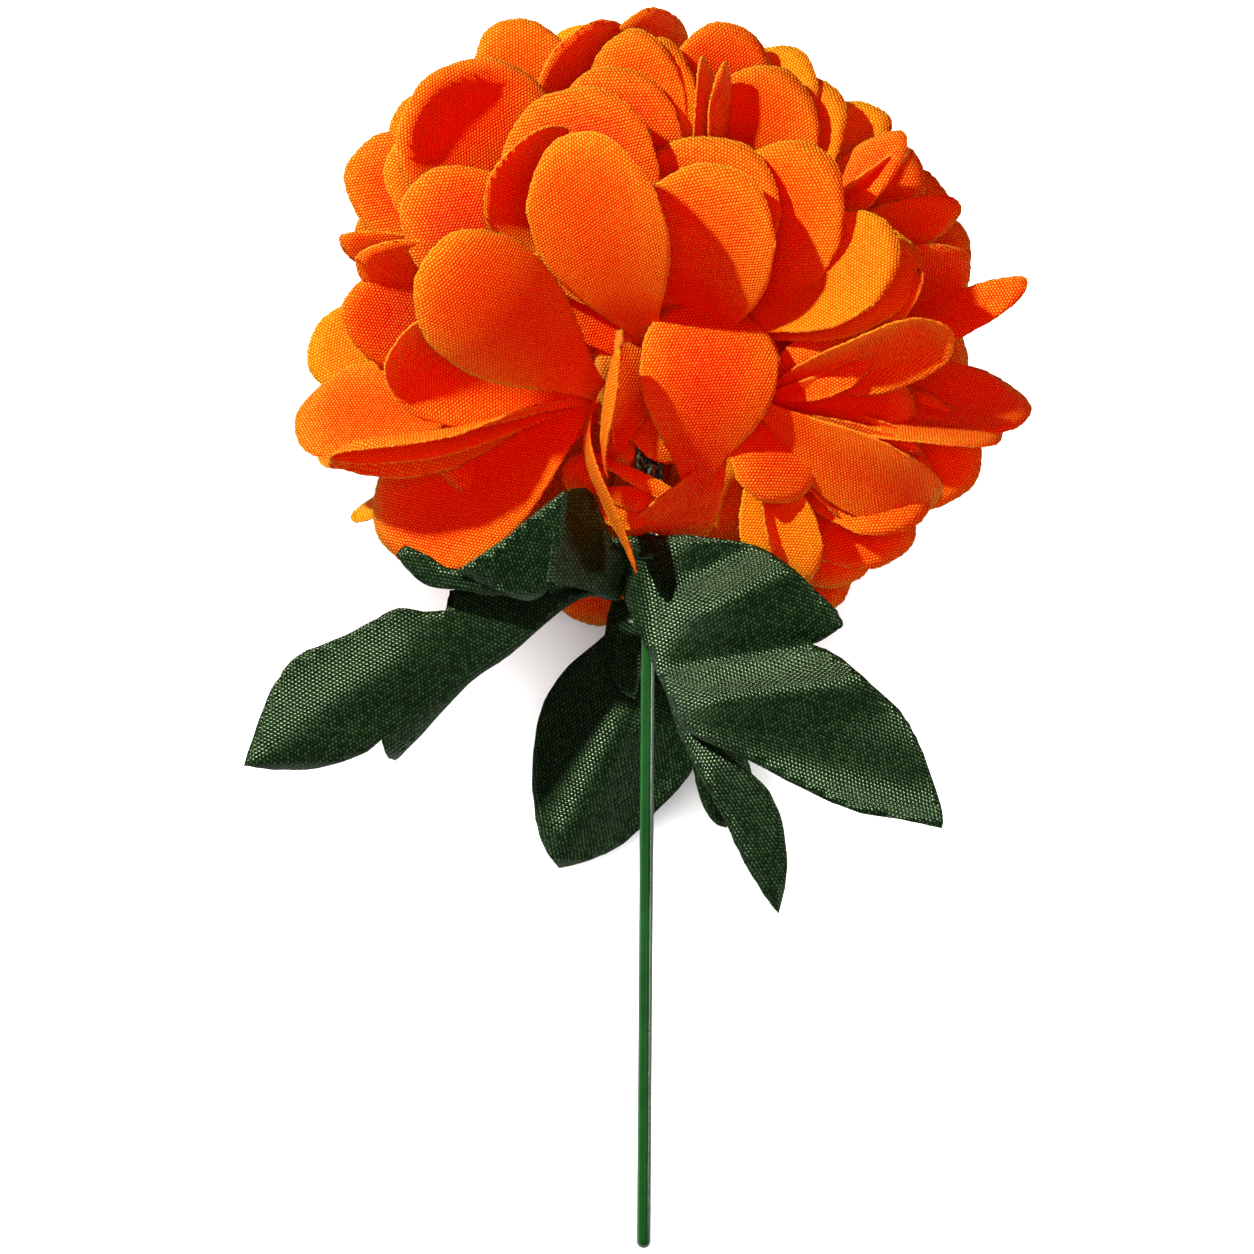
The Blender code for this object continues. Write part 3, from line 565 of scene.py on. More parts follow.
# Each lobe: outline, depth and the angle of its cloth's threads in degrees
RIGHT_LOBES = ((RIGHT_LEAF, right_leaf_depth, 20), (RIGHT_LOWER_LOBE, right_lower_depth, 55))
LEFT_LOBES = ((LEFT_LEAF, left_leaf_depth, -35), (LEFT_UPPER_LOBE, upper_lobe_depth, 10),
              (LEFT_FLAP, flap_depth, 70), (MIDDLE_FOLD, middle_depth, 0))
BACK_LOBES = ((BACK_LEAF, back_leaf_depth, 80), (BACK_SMALL_LOBE, small_lobe_depth, 30))
leaf_piece("leaf_right", RIGHT_LOBES, 11)
leaf_piece("leaf_left", LEFT_LOBES, 12)
leaf_piece("leaf_back", BACK_LOBES, 13)


# Leaf collar: the middle of the die-cut leaves, where their three groups meet round the hole. It is
# doubled cloth, pressed flat round the tube.
COLLAR_LOW = -38.5
COLLAR_TOP = -37.5
COLLAR_RADIUS = 4.9
COLLAR_HOLE = TUBE_RADIUS + 0.3
COLLAR_CORNER = 0.2
COLLAR_SIDES = 40
collar_side = [(COLLAR_HOLE, COLLAR_LOW), (COLLAR_RADIUS - COLLAR_CORNER, COLLAR_LOW),
               (COLLAR_RADIUS, COLLAR_LOW + COLLAR_CORNER), (COLLAR_RADIUS, COLLAR_TOP - COLLAR_CORNER),
               (COLLAR_RADIUS - COLLAR_CORNER, COLLAR_TOP), (COLLAR_HOLE, COLLAR_TOP),
               (COLLAR_HOLE, COLLAR_LOW)]
collar = finished("leaf_collar", turned(collar_side, COLLAR_SIDES), leaf_cloth, smooth=False)
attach(collar, "root")
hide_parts("leaf_whorl")


# Petals: orange polyester, woven with a raised thread, die-cut in layers with a narrow claw to each
# petal, cupped with a hot iron and threaded on the core tube until the bloom is full.
PETAL_THICKNESS = 0.28
PETAL_PITCH = 0.53
# The gold of the thread tops against the deep orange between them is a painted highlight of light
# catching the raised thread.
BETWEEN_THREADS_ORANGE = (0.93, 0.032, 0.0004, 1)
THREAD_HIGHLIGHT_GOLD = (1.0, 0.7, 0.04, 1)
# Red laid over the middle and the claw of each petal is painted shade.
PAINTED_SHADE_RED = (0.97, 0.4, 0.25, 1)
# Gold along the cut edge is a painted highlight of the lit rims.
CUT_EDGE_LIGHT_GOLD = (1.0, 0.6, 0.05, 1)
SHINE_THROUGH_RED = (1.0, 0.09, 0.002, 1)
SHINE_THROUGH_SHARE = 0.3
# Hue range of a per-vertex tone: each petal's random dye plus painted light, gold at the lit margin and
# on the golden layer.
TINT_HUES = (0.492, 0.506)
petal_cloth, nodes, links, shader = new_material("petal_cloth")
weave = placed_weave(nodes, links, shader, PETAL_PITCH, drift=0.45, roundness=0.85, faintest=0.7)
thread_colour_and_highlight = nodes.new("ShaderNodeValToRGB")
thread_colour_and_highlight.color_ramp.elements[0].color = BETWEEN_THREADS_ORANGE
thread_colour_and_highlight.color_ramp.elements[0].position = 0.25
thread_colour_and_highlight.color_ramp.elements[1].color = THREAD_HIGHLIGHT_GOLD
thread_colour_and_highlight.color_ramp.elements[1].position = 0.75
# Painted highlight along the cut edge of each petal.
margin = nodes.new("ShaderNodeAttribute")
margin.attribute_name = "margin"
cut_edge_light = nodes.new("ShaderNodeMapRange")
cut_edge_light.inputs["From Min"].default_value = 0.4
cut_edge_light.inputs["From Max"].default_value = 0.05
cut_edge_light.inputs["To Max"].default_value = 0.5
edged = nodes.new("ShaderNodeMix")
edged.data_type = "RGBA"
edged.inputs["B"].default_value = CUT_EDGE_LIGHT_GOLD
# Hue shift by the tone: the petal's dye and painted light.
dye_and_painted_light = nodes.new("ShaderNodeAttribute")
dye_and_painted_light.attribute_name = "dye_and_painted_light"
tinted = nodes.new("ShaderNodeHueSaturation")
tint_hue = nodes.new("ShaderNodeMapRange")
tint_hue.clamp = False
tint_hue.inputs["To Min"].default_value, tint_hue.inputs["To Max"].default_value = TINT_HUES
through = nodes.new("ShaderNodeBsdfTranslucent")
through.inputs["Color"].default_value = SHINE_THROUGH_RED
thin = nodes.new("ShaderNodeMixShader")
thin.inputs["Fac"].default_value = SHINE_THROUGH_SHARE
# Painted shade multiplied over the thread colour.
painted_shade = nodes.new("ShaderNodeAttribute")
painted_shade.attribute_name = "painted_shade"
deepened = nodes.new("ShaderNodeMix")
deepened.data_type = "RGBA"
deepened.blend_type = "MULTIPLY"
deepened.inputs["B"].default_value = PAINTED_SHADE_RED
links.new(weave.outputs["Nub"], thread_colour_and_highlight.inputs["Fac"])
links.new(thread_colour_and_highlight.outputs["Color"], deepened.inputs["A"])
links.new(painted_shade.outputs["Fac"], deepened.inputs["Factor"])
links.new(deepened.outputs["Result"], edged.inputs["A"])
links.new(margin.outputs["Fac"], cut_edge_light.inputs["Value"])
links.new(cut_edge_light.outputs["Result"], edged.inputs["Factor"])
links.new(edged.outputs["Result"], tinted.inputs["Color"])
links.new(dye_and_painted_light.outputs["Fac"], tint_hue.inputs["Value"])
links.new(tint_hue.outputs["Result"], tinted.inputs["Hue"])
links.new(tinted.outputs["Color"], shader.inputs["Base Color"])
shader.inputs["Roughness"].default_value = 0.75
shader.inputs["Specular IOR Level"].default_value = 0.25
shader.inputs["Specular Tint"].default_value = (1.0, 0.45, 0.04, 1)
links.new(shader.outputs["BSDF"], thin.inputs[1])
links.new(through.outputs["BSDF"], thin.inputs[2])
links.new(thin.outputs["Shader"], nodes["Material Output"].inputs["Surface"])

# A petal's outline: width of its claw and place of its full width as shares of the petal, how soon it
# widens, how round its end is, how far its cells fan out, and how unevenly it is cut.
NECK = 0.16
SHOULDER = 0.85
WAIST = 1.45
WIDEST = 0.66
SPREAD = math.radians(76)
WAVER = 0.012
NICKS = 0.004
CLAW_END = 0.3
CLAW_GAP = 3
AT_CUT_EDGE = 0.2
# Rims: height and width of the rise towards the margin, drop and width of the lip at the margin. A
# plain rim only droops, a spoon has a wall with a drooping lip, and a curled rim turns up.
PLAIN_RIM = (0, 1, 0.5, 1.4)
SPOON_RIM = (4.5, 3.8, 3.5, 1.8)
CURLED_RIM = (2.2, 2.2, 0, 1)
RIM_START = 0.32
RIM_GROWTH = 2.5
RIPPLE = 0.55
PETAL_CELLS = 18
# Painted light in the cloth's colour: how much redder a petal gets inside its margin, painted shade of
# its cupped middle; how gold the margin stays, a painted highlight of its lit rim; and how red the claw
# is, painted shade deep in the bloom. Widths are in millimetres from the cut edge.
PAINTED_SHADE_DEPTHS = (0.35, 0.75)
GOLDEN_PAINTED_SHADE = 0.1
PAINTED_SHADE_EDGE = 1.5
PAINTED_SHADE_WIDTH = 6
MARGIN_PAINTED_LIGHT = 0.9
MARGIN_PAINTED_LIGHT_WIDTH = 3
CLAW_PAINTED_SHADE = 0.8
CLAW_PAINTED_SHADE_END = 0.6875
CLAW_PAINTED_SHADE_FADE = 1.6
FRONT = (0, 0, 1)
UPWARD = (0, 0.9, 0.5)
HEART = (0, -4, 13)
RIGHT = (17, -13, 15)
LEFT = (-9, -13, 13)


def set_petal(point, petal, mood):
    """Where a point of the flat petal goes, its place on the cloth and its distance from the edge."""
    root, tip, width, facing, bow, cup, twist, *own_rim = petal
    root, tip, facing = Vector(root), Vector(tip), Vector(facing)
    long = (tip - root).length
    along = (tip - root) / long
    across = facing.cross(along).normalized()
    outward = along.cross(across)

    # Flat outline: u runs from root to tip, v from side to side.
    u, v = (point.y + 1) / 2, point.x
    spread = SPREAD * v
    shape = NECK + (1 - NECK) * math.sin(math.pi / 2 * min(1, u / SHOULDER)) ** WAIST
    rounding = WIDEST + (1 - WIDEST) * math.cos(spread)
    uneven = WAVER * math.sin(2 * spread + mood[0]) + NICKS * math.sin(7 * spread + mood[1])
    offset = width / 2 * shape * math.sin(spread) / math.sin(SPREAD)
    reach = u * rounding * (1 + uneven * u * u)
    flat = (offset, reach * long)
    from_side = width / 2 * shape - abs(offset) + (0 if u > CLAW_END else CLAW_GAP)
    gap = min((1 - u) * rounding * long, from_side)

    # Set: twisted, bowed, rimmed, rippled and cupped.
    turn = math.radians(twist) * (reach - 0.5)
    side = across * math.cos(turn) + outward * math.sin(turn)
    normal = outward * math.cos(turn) - across * math.sin(turn)
    lift = 3 * reach * (1 - reach) ** 2 * bow[0] + 3 * reach ** 2 * (1 - reach) * bow[1]
    wall, wall_width, lip, lip_width = own_rim[0] if own_rim else PLAIN_RIM
    rim = wall * math.exp(-(gap / wall_width) ** 2) - lip * math.exp(-(gap / lip_width) ** 2)
    lift += rim * max(0, min(1, RIM_GROWTH * (u - RIM_START)))
    lift += RIPPLE * u * u * math.sin(2.6 * v + mood[2]) * math.cos(2 * u + mood[1])
    bend = math.radians(cup) / width
    if bend:
        lift += (1 - math.cos(bend * offset)) / bend
        offset = math.sin(bend * offset) / bend
    return root.lerp(tip, reach) + side * offset + normal * lift, flat, gap


def on_table(place):
    """Moves a point that would sink into the table straight up onto it."""
    from_end = place.y - STEM_END - STEM_RADIUS
    height = from_end * math.sin(LEAN) + place.z * math.cos(LEAN) + STEM_RADIUS
    sunk = max(0, PETAL_THICKNESS / 2 + 0.02 - height)
    return place + sunk * Vector((0, math.sin(LEAN), math.cos(LEAN)))


def petal_layer(name, petals, seed, pressed=False, golden=0):
    """One layer of petals as one piece of cloth, each petal cut and set from a grid of cells.
    Golden moves the colour of the whole layer towards gold, painted light shining on and through it, and
    pressed lays its tips on the table."""
    draw = random.Random(seed)
    shape = bmesh.new()
    cloth = shape.loops.layers.uv.new("cloth")
    margin = shape.verts.layers.float.new("margin")
    dye_and_painted_light = shape.verts.layers.float.new("dye_and_painted_light")
    painted_shade = shape.verts.layers.float.new("painted_shade")
    for petal in petals:
        root, tip, width = petal[:3]
        length = (Vector(tip) - Vector(root)).length
        mood = [draw.uniform(0, math.tau) for _ in range(3)]
        grain = Matrix.Rotation(draw.uniform(0, math.pi), 2)
        shift = Vector((draw.uniform(0, 40), draw.uniform(0, 40)))
        # The tone is the petal's own random dye, and golden adds painted light to it.
        shade = draw.uniform(0, 1) + golden
        inner_painted_shade = GOLDEN_PAINTED_SHADE if golden else draw.uniform(*PAINTED_SHADE_DEPTHS)
        old = len(shape.verts)
        cut = bmesh.ops.create_grid(shape, x_segments=PETAL_CELLS, y_segments=PETAL_CELLS, size=1)
        faces = {face for vertex in cut["verts"] for face in vertex.link_faces}
        rim = [edge for edge in {edge for face in faces for edge in face.edges} if edge.is_boundary]
        bmesh.ops.subdivide_edges(shape, edges=rim, cuts=2)
        shape.verts.ensure_lookup_table()
        flat = {}
        for vertex in shape.verts[old:]:
            place, flat[vertex], gap = set_petal(vertex.co, petal, mood)
            if vertex.is_boundary and gap < AT_CUT_EDGE:
                place += Vector([draw.uniform(-FRAY, FRAY) for _ in range(3)])
            vertex.co = on_table(place) if pressed else place
            vertex[margin] = gap
            # Gold near the margin is a painted highlight of the lit rim.
            vertex[dye_and_painted_light] = shade + MARGIN_PAINTED_LIGHT * math.exp(-(gap / MARGIN_PAINTED_LIGHT_WIDTH) ** 2)
            # Painted shade: redder inside the margin and towards the claw, where the cupped middle and
            # the deep claws lie out of the light.
            inside = inner_painted_shade * max(0, min(1, (gap - PAINTED_SHADE_EDGE) / PAINTED_SHADE_WIDTH))
            up = flat[vertex][1] / length
            at_claw = CLAW_PAINTED_SHADE * max(0, min(1, CLAW_PAINTED_SHADE_FADE * (CLAW_PAINTED_SHADE_END - up)))
            vertex[painted_shade] = 1 - (1 - inside) * (1 - at_claw)
        for face in {face for vertex in flat for face in vertex.link_faces}:
            for loop in face.loops:
                loop[cloth].uv = grain @ Vector(flat[loop.vert]) + shift
    piece = finished(name, shape, petal_cloth)
    wall = piece.modifiers.new("Cloth thickness", "SOLIDIFY")
    wall.thickness = PETAL_THICKNESS / 1000
    wall.offset = 0
    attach(piece, "root")
    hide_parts("bloom")


# Each petal: root, tip, width, the way it faces, bow near root and tip, cup in degrees, twist in
# degrees, and its own rim where it isn't plain. A petal faces its given way as nearly as the line from
# its root to its tip allows.
CENTRE_PETALS = (
    (HEART, (-11.3, 28, 32), 22.5, (-0.4, 0.25, 1), (6, 7), 15, 0),
    ((6.5, -7, 9), (11.6, 24, 25), 24, (-0.2, 0.1, 1), (0, 9), 40, 0),
    ((5, -4, 7), (12, 28.6, 19), 25, (-0.2, 0.1, 1), (0, 8), 35, 0),
    ((9, -6, 7), (27, 26, 20), 22, (-0.2, 0.1, 1), (0, 8), 15, 0),
    ((-8, -12, 15), (-35.3, 8.6, 34), 22.5, (0.2, -0.1, 1), (0, 8), -60, 0),
    ((7, -27.5, 10), (10.6, 3, 12), 22, (0, -0.15, 1), (8, 18), -10, 0),
    ((12, -18, 13), (-2.5, -46, -3), 12.5, (0.3, -0.3, 1), (9, -9), 20, 0),
    ((-6.7, -25.6, 15), (-5.3, -5.2, 27), 6, (-1, 0.2, 0.45), (2, 1), 0, 0),
    ((-5, -22, 11), (-2.5, -4.4, 13.5), 9, (0.5, -0.1, 0.85), (1, 3), 0, 0),
    ((-8.2, -11.8, 14), (-2.6, -41.4, 10), 6.5, (-1, 0, 0.35), (8.2, -0.6), 0, 0),
    ((-6, -12.5, 8.5), (4.5, -22.8, 8), 6, (0, -0.3, 1), (1, 1), 0, 0),
    ((-10.5, -21.4, 6), (5.5, -29.4, 7), 2.6, FRONT, (1, 0), 0, 0),
    ((-10, -27.5, 5), (4.5, -30.2, 6), 4, FRONT, (1, 0), 0, 0),
    ((-10, -31, 4), (-0.5, -32.5, 5.5), 3.8, FRONT, (1, 0), 0, 0),
    ((-2, -27, 4.2), (0.6, -33.2, 4.5), 3, FRONT, (0, 0), 0, 0),
    ((-5, -22, 3), (-13.6, -26.4, 5), 6, (-0.2, 0.3, 1), (1, 1), 0, 0),
    ((-4, -6, 10), (-15, 13, 17), 20, (0.6, -0.5, 0.8), (0, -4), 10, 0),
    ((-7, -14, 5), (-4, -24, 3.5), 5, FRONT, (1, 1), 20, 0),
)
RIGHT_PETALS = (
    ((18, -13, 13), (43, 7, 22), 9, (-0.5, 0.3, 0.8), (0, -2), 0, 0),
    ((15, -13, 12), (35, -4, 18), 11, (-0.2, 0.1, 1), (0, 2), 10, 0),
    ((17, -13, 13), (48, -0.5, 23), 13, (0.4, -0.6, 0.9), (0, 0), 30, 0, CURLED_RIM),
    ((13, -6, 6), (51.8, 9, 3), 16, (0.3, -0.6, 0.8), (0, 0), 10, 0),
    ((14, -10, 4), (60, 6.5, 5), 8, (-0.2, 0.4, 0.9), (-5, -6), 10, 0),
    ((12, -8, 0), (51, -5, -5), 22, FRONT, (0, 3), 10, 0),
    (RIGHT, (42, -16, 11), 17, (0.4, -0.75, 0.9), (0, 1), -20, 0),
    ((17.5, -13.8, 14), (43, -21.4, 14), 3.2, (0.4, -0.9, 0.6), (0, 0), 0, 0),
    ((17, -12, 8), (60.5, -14, 6), 14, (0, 0.5, 0.9), (0, 2), 20, 0),
    ((17, -14, 8), (56, -18, 10), 14, (0, 0.7, 0.5), (0, 2), 20, 0),
    ((16.6, -13.4, 16), (45.6, -29.8, 9), 15, (0.2, -0.8, 0.8), (3, 4), 20, 0),
    ((15.5, -7, 12), (22, -29.6, 14), 14, (0.3, -0.3, 1), (1, 3), -30, 0),
    ((16.8, -13.5, 12), (37, -32.5, 4), 9, (0.4, -0.3, 0.8), (0, 1), 40, 0, CURLED_RIM),
    ((17.6, -24, 12), (20.4, -39.5, 10), 3, (0.8, -0.3, 0.5), (0, 1), 0, 0),
    ((18, -14, 9), (43, -20.5, 10), 8, (0.3, -0.8, 0.5), (0, 0), 10, 0),
    ((12, -14, 2), (52.5, -24, 8), 20, FRONT, (0, 3), 10, 0),
    ((12, -14, 2), (45, -30, 10), 18, FRONT, (0, 3), 10, 0),
    ((10, -15, 0), (41, -37, 5), 18, FRONT, (0, 3), 10, 0),
    ((10, -15, 2), (34.5, -41, 4), 17, FRONT, (0, 3), 10, 0),
    ((8, -15, -2), (29.5, -46, 0), 18, FRONT, (0, 3), 10, 0),
    ((12, -8, 5), (38, 2, 14), 20, FRONT, (0, 3), 10, 0),
    ((10, -14, 1), (36, -26, 3), 22, FRONT, (0, 3), 10, 0),
    ((14, -12, 4), (40, -12, 12), 22, FRONT, (0, 3), 10, 0),
)
LEFT_PETALS = (
    (LEFT, (-42, -5.5, 24), 19, (0.6, -0.5, 0.9), (0, -2), 20, 0, CURLED_RIM),
    ((-10, -13, 11), (-56.5, -18, 12), 20, (0, 0.5, 0.8), (0, 5), 10, 0),
    ((-10, -12.6, 12), (-51, -21.5, 17), 13, (0.1, -0.9, 0.4), (2, 2), 40, 0, CURLED_RIM),
    ((-8, -13, 6), (-53.5, -23, 4), 14, UPWARD, (0, 0), 10, 0),
    (LEFT, (-42.5, -37, 4), 22, (-0.2, 0.1, 1), (0, 4), 0, 0),
    ((-6, 4, 0), (-41, 34, -4), 18, FRONT, (0, 3), 10, 0),
    ((-6, 2, 4), (-48, 26, 4), 20, FRONT, (0, 5), 10, 0),
    ((-5, 2, 4), (-41, 26.5, 8), 19, FRONT, (0, 4), 10, 0),
    ((-5, -2, 7), (-39, 19.5, 19), 20, (-0.1, 0.1, 1), (0, 9), -10, 0),
    ((-6, -2, 6), (-49.8, 11.3, 17), 9, (0.6, -0.7, 0.6), (0, -3), 10, 0),
    ((-6, -6, 8), (-47, 8.5, 20), 14, (0.7, -0.9, 0.5), (0, -6), 10, 0),
    ((-6, -8, 6), (-48.5, 2, 15), 19, (0.4, -0.3, 1), (0, -2), 10, 0),
    ((-7, -14, 3), (-36, -20, 10), 22, FRONT, (0, 3), 10, 0),
    ((-8, -8, 6), (-36, -2, 14), 22, FRONT, (0, 3), 10, 0),
    ((-8, 0, 4), (-34, 16, 10), 24, FRONT, (0, 3), 10, 0),
)
TOP_PETALS = (
    ((-3, -1, 9), (-14.3, 36.3, 19), 25, (-0.3, 0.3, 1), (5, 8), 10, 0),
    ((-0.5, -2, 11), (-20.8, 27.3, 27), 22, (0.8, -0.8, 0.5), (0, -12), 10, 0),
    ((-5, 0, 7), (-36.2, 38.3, 16), 27, (0.3, -0.2, 1), (0, -6), 10, 0, SPOON_RIM),
    ((-4, 4, 2), (-25, 47, 2), 19, (0.2, 0, 1), (0, 4), 10, 0),
    ((-1, 4, -6), (-9, 47, 9), 24, (0.7, -0.5, 0.9), (0, -8), 0, 0),
    ((1, 5, -8), (0, 50, 3), 20, (0.7, -0.5, 0.9), (0, -6), 10, 0),
    ((1, 2, 7), (-3.8, 46, 11), 16, (-0.1, 0.1, 1), (2, 6), 0, 0),
    ((1, 2, 7), (0.5, 45, 10.5), 14, (-0.1, 0.1, 1), (2, 6), 0, 0),
    ((1, 1, 7), (1.5, 39.5, 11), 17, (0.3, -0.1, 1), (0, 4), 30, 0),
    ((0, 0, 8), (-8.5, 39.8, 13), 21, (0.1, 0, 1), (0, 8), 20, 0),
    ((8, 12, 9), (8.8, 41.5, 14), 8, (1, -0.4, 0.45), (0, 0), 10, 0),
    ((11, 12, 9), (11.5, 40.5, 15), 8, (1, -0.4, 0.45), (0, 0), 10, 0),
    ((3, 4, 3), (13, 46.7, 6), 20, (0.2, -0.1, 1), (0, 2), 30, 0),
    ((4, 3, 5), (22, 39.5, 9), 20, FRONT, (0, 6), 10, 0),
    ((7, 0, 5), (40.3, 29, 12), 11, (-0.3, 0.3, 0.6), (0, 0), 0, 0),
    ((8, 0, 4), (41, 26.3, 10), 12, (1, -0.6, 0.4), (0, 0), 0, 0),
    ((7, 4, 0), (43, 25, 0), 18, FRONT, (0, 3), 10, 0),
    ((6, 4, -5), (47.5, 21, -8), 18, FRONT, (0, 3), 10, 0),
    ((8, 0, 4), (49, 18.3, 5), 10, (0.3, -0.3, 1), (0, 0), 0, 0),
    ((8, 2, -3), (51, 12, -6), 20, FRONT, (0, 3), 10, 0),
    ((4, 2, 5), (14, 36, 8), 24, FRONT, (0, 3), 10, 0),
)
LOW_PETALS = (
    ((-2, -16, -6), (-9.5, -49, -20), 18, FRONT, (0, 3), 10, 0),
    ((0, -14, -5), (0, -40, -14), 22, FRONT, (0, 3), 10, 0),
    ((7, -15, -4), (16, -42, -12), 22, FRONT, (0, 3), 10, 0),
    ((-7, -15, -4), (-22, -38, -8), 20, FRONT, (0, 3), 10, 0),
)
# The golden layer: its colour is moved towards gold, painted light for the full light on these petals
# and the light shining through the outer ones.
GOLDEN_PETALS = (
    ((4, 5, -1), (23.5, 43.5, 3), 18, (-0.3, 0.3, 1), (0, 4), 10, 0),
    ((5, 4, 2), (29, 36.9, 6), 18, (-0.3, 0.3, 1), (0, 4), 10, 0),
    ((4, 5, -4), (37.5, 33.5, 2), 15, (-0.3, 0.3, 1), (0, 4), 10, 0),
    ((-3, 6, -3), (-13.5, 47, -3), 18, (-0.3, 0.3, 1), (0, 3), 10, 0),
    ((-8, -6, 0), (-55, -6.5, 0), 20, (-0.3, 0.3, 1), (0, 3), 10, 0),
    ((-6, -14, 2), (-48, -32, 0), 8, UPWARD, (0, 0), 0, 0),
    ((14, -2, 13), (38.6, 12.4, 24), 18, (-0.3, 0.35, 0.9), (0, 3), 0, 0),
    ((14, -3, 11), (42.6, 10.2, 19), 18, (-0.3, 0.35, 0.9), (0, 3), 0, 0),
    ((16.5, -14, 8), (14.5, -48, -3), 19, (-0.4, 0.2, 1), (2, 2), 0, 0),
    ((17, -20, 12), (23.5, -43, 8), 13, (-0.3, 0.2, 1), (0, 2), 10, 0),
)
petal_layer("petals_centre", CENTRE_PETALS, 21)
petal_layer("petals_right", RIGHT_PETALS, 22)
petal_layer("petals_left", LEFT_PETALS, 23)
petal_layer("petals_top", TOP_PETALS, 24)
petal_layer("petals_low", LOW_PETALS, 25)
petal_layer("petals_golden", GOLDEN_PETALS, 26, golden=2)


# Petals behind: the hidden layers, of the same cloth as the front ones, shorter towards the back. The
# petals of a layer stand at equal turns round the tube, with a small wobble in their length.
# Each layer: depth of the tips, reach, number, turn of the first in degrees, slope
BACK_LAYERS = ((-14, 52, 12, 8, 0.1), (-26, 46, 10, 24, 0.26), (-35, 34, 7, 90, 0.26),
               (-40, 17, 4, 30, 0.26))
BACK_WIDTH = 22
BACK_CUP = 15
BACK_FLATTENING = 0.87
BACK_WOBBLE = 2.5
BACK_TILT = 0.35
BACK_SHIFT = -1
CLAW_RING = 5.5
CLAW_RING_Y = -4
DEEPEST_CLAW = -7
for number, (depth, reach, count, first, slope) in enumerate(BACK_LAYERS):
    layer = []
    for place in range(count):
        angle = math.radians(first + 360 * place / count)
        out = Vector((math.cos(angle), math.sin(angle) * BACK_FLATTENING))
        wobble = BACK_WOBBLE * math.sin(7.3 * place + depth)
        tip_y = out.y * reach + BACK_SHIFT
        tip = (out.x * (reach + wobble), tip_y, depth + 0.8 * wobble - slope * tip_y)
        root = (out.x * CLAW_RING, out.y * CLAW_RING + CLAW_RING_Y, max(DEEPEST_CLAW, 0.2 * depth - 1))
        facing = (out.y * BACK_TILT, -out.x * BACK_TILT, -1)
        layer.append((root, tip, BACK_WIDTH, facing, (0, 4), BACK_CUP, 0))
    petal_layer(f"petals_back_{number + 1}", layer, 31 + number)


# Feet: two low petals of the same cloth, which carry the bloom. They would reach below the table, and
# are bent flat where they lie on it.
FOOT_X = 24
FOOT_Y = 17
FOOT_SINK = 13
foot_z = -(FOOT_Y - STEM_END) * math.tan(LEAN) - FOOT_SINK
feet = []
for side in (-1, 1):
    feet.append(((side * 5, 0, -7), (side * FOOT_X, FOOT_Y, foot_z), 22, (0, -0.3, -1), (2, 4), 0, 0))
petal_layer("petals_feet", feet, 41, pressed=True)


# Gathered claws: the narrow ends of all the petals, of the same orange cloth, packed and pleated
# round the tube.
HUB_RADIUS = 13.6
HUB_MIDDLE = -4.5
HUB_HALF = 15.5
HUB_RINGS = 28
PLEATS = 17
PLEAT_SIDES = 8
PLEAT_DEPTH = 0.05
PLEAT_TWIST = 3
hub = bmesh.new()
hub_cloth = hub.loops.layers.uv.new("cloth")
bmesh.ops.create_uvsphere(hub, u_segments=PLEATS * PLEAT_SIDES, v_segments=HUB_RINGS, radius=1)
bmesh.ops.rotate(hub, verts=hub.verts, matrix=Matrix.Rotation(-math.pi / 2, 3, "X"))
for vertex in hub.verts:
    angle = math.atan2(vertex.co.z, vertex.co.x)
    radius = HUB_RADIUS * (1 - PLEAT_DEPTH * (1 - math.cos(PLEATS * angle + PLEAT_TWIST * vertex.co.y)))
    vertex.co = Vector((vertex.co.x * radius, vertex.co.y * HUB_HALF + HUB_MIDDLE, vertex.co.z * radius))
for face in hub.faces:
    for loop in face.loops:
        spot = loop.vert.co
        loop[hub_cloth].uv = (HUB_RADIUS * math.atan2(spot.x, spot.z), spot.y)
gathered_claws = finished("gathered_claws", hub, petal_cloth)
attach(gathered_claws, "root")
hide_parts("bloom")


# Studio: a pale table under its own wide soft lamp, and the camera straight above the bloom's face.
# A small strong key lamp high on the left lights the whole flower, a wide red lamp fills the shade of
# the orange pieces only, and a fill and a streak lamp reach the green ones only. The table and the
# backdrop are bright for the camera and dim for the light that they throw back on the flower.
TABLE_HALF = 1.5
TABLE_SEEN = (0.9, 0.9, 0.9, 1)
TABLE_FELT = (0.3, 0.3, 0.3, 1)
BACKDROP_FELT_AND_SEEN = (0.02, 1.0)
table_shape = bmesh.new()
bmesh.ops.create_grid(table_shape, x_segments=1, y_segments=1, size=TABLE_HALF)
table_mesh = bpy.data.meshes.new("table_top")
table_shape.to_mesh(table_mesh)
table_shape.free()
table_paint, nodes, links, shader = new_material("table_paint")
table_seen = nodes.new("ShaderNodeLightPath")
table_tone = nodes.new("ShaderNodeMix")
table_tone.data_type = "RGBA"
table_tone.inputs["A"].default_value = TABLE_FELT
table_tone.inputs["B"].default_value = TABLE_SEEN
links.new(table_seen.outputs["Is Camera Ray"], table_tone.inputs["Factor"])
links.new(table_tone.outputs["Result"], shader.inputs["Base Color"])
shader.inputs["Roughness"].default_value = 0.9
shader.inputs["Specular IOR Level"].default_value = 0.1
table_mesh.materials.append(table_paint)
table_top = bpy.data.objects.new("table_top", table_mesh)
bpy.context.scene.collection.objects.link(table_top)

turn_down = Matrix.Rotation(LEAN, 3, "X")
lit_groups = {name: bpy.data.collections.new(name) for name in ("flower", "orange", "green", "table")}
for piece in bpy.context.scene.objects:
    if piece is table_top:
        lit_groups["table"].objects.link(piece)
    elif piece.type == "MESH":
        lit_groups["flower"].objects.link(piece)
        is_orange = petal_cloth.name in piece.data.materials
        lit_groups["orange" if is_orange else "green"].objects.link(piece)


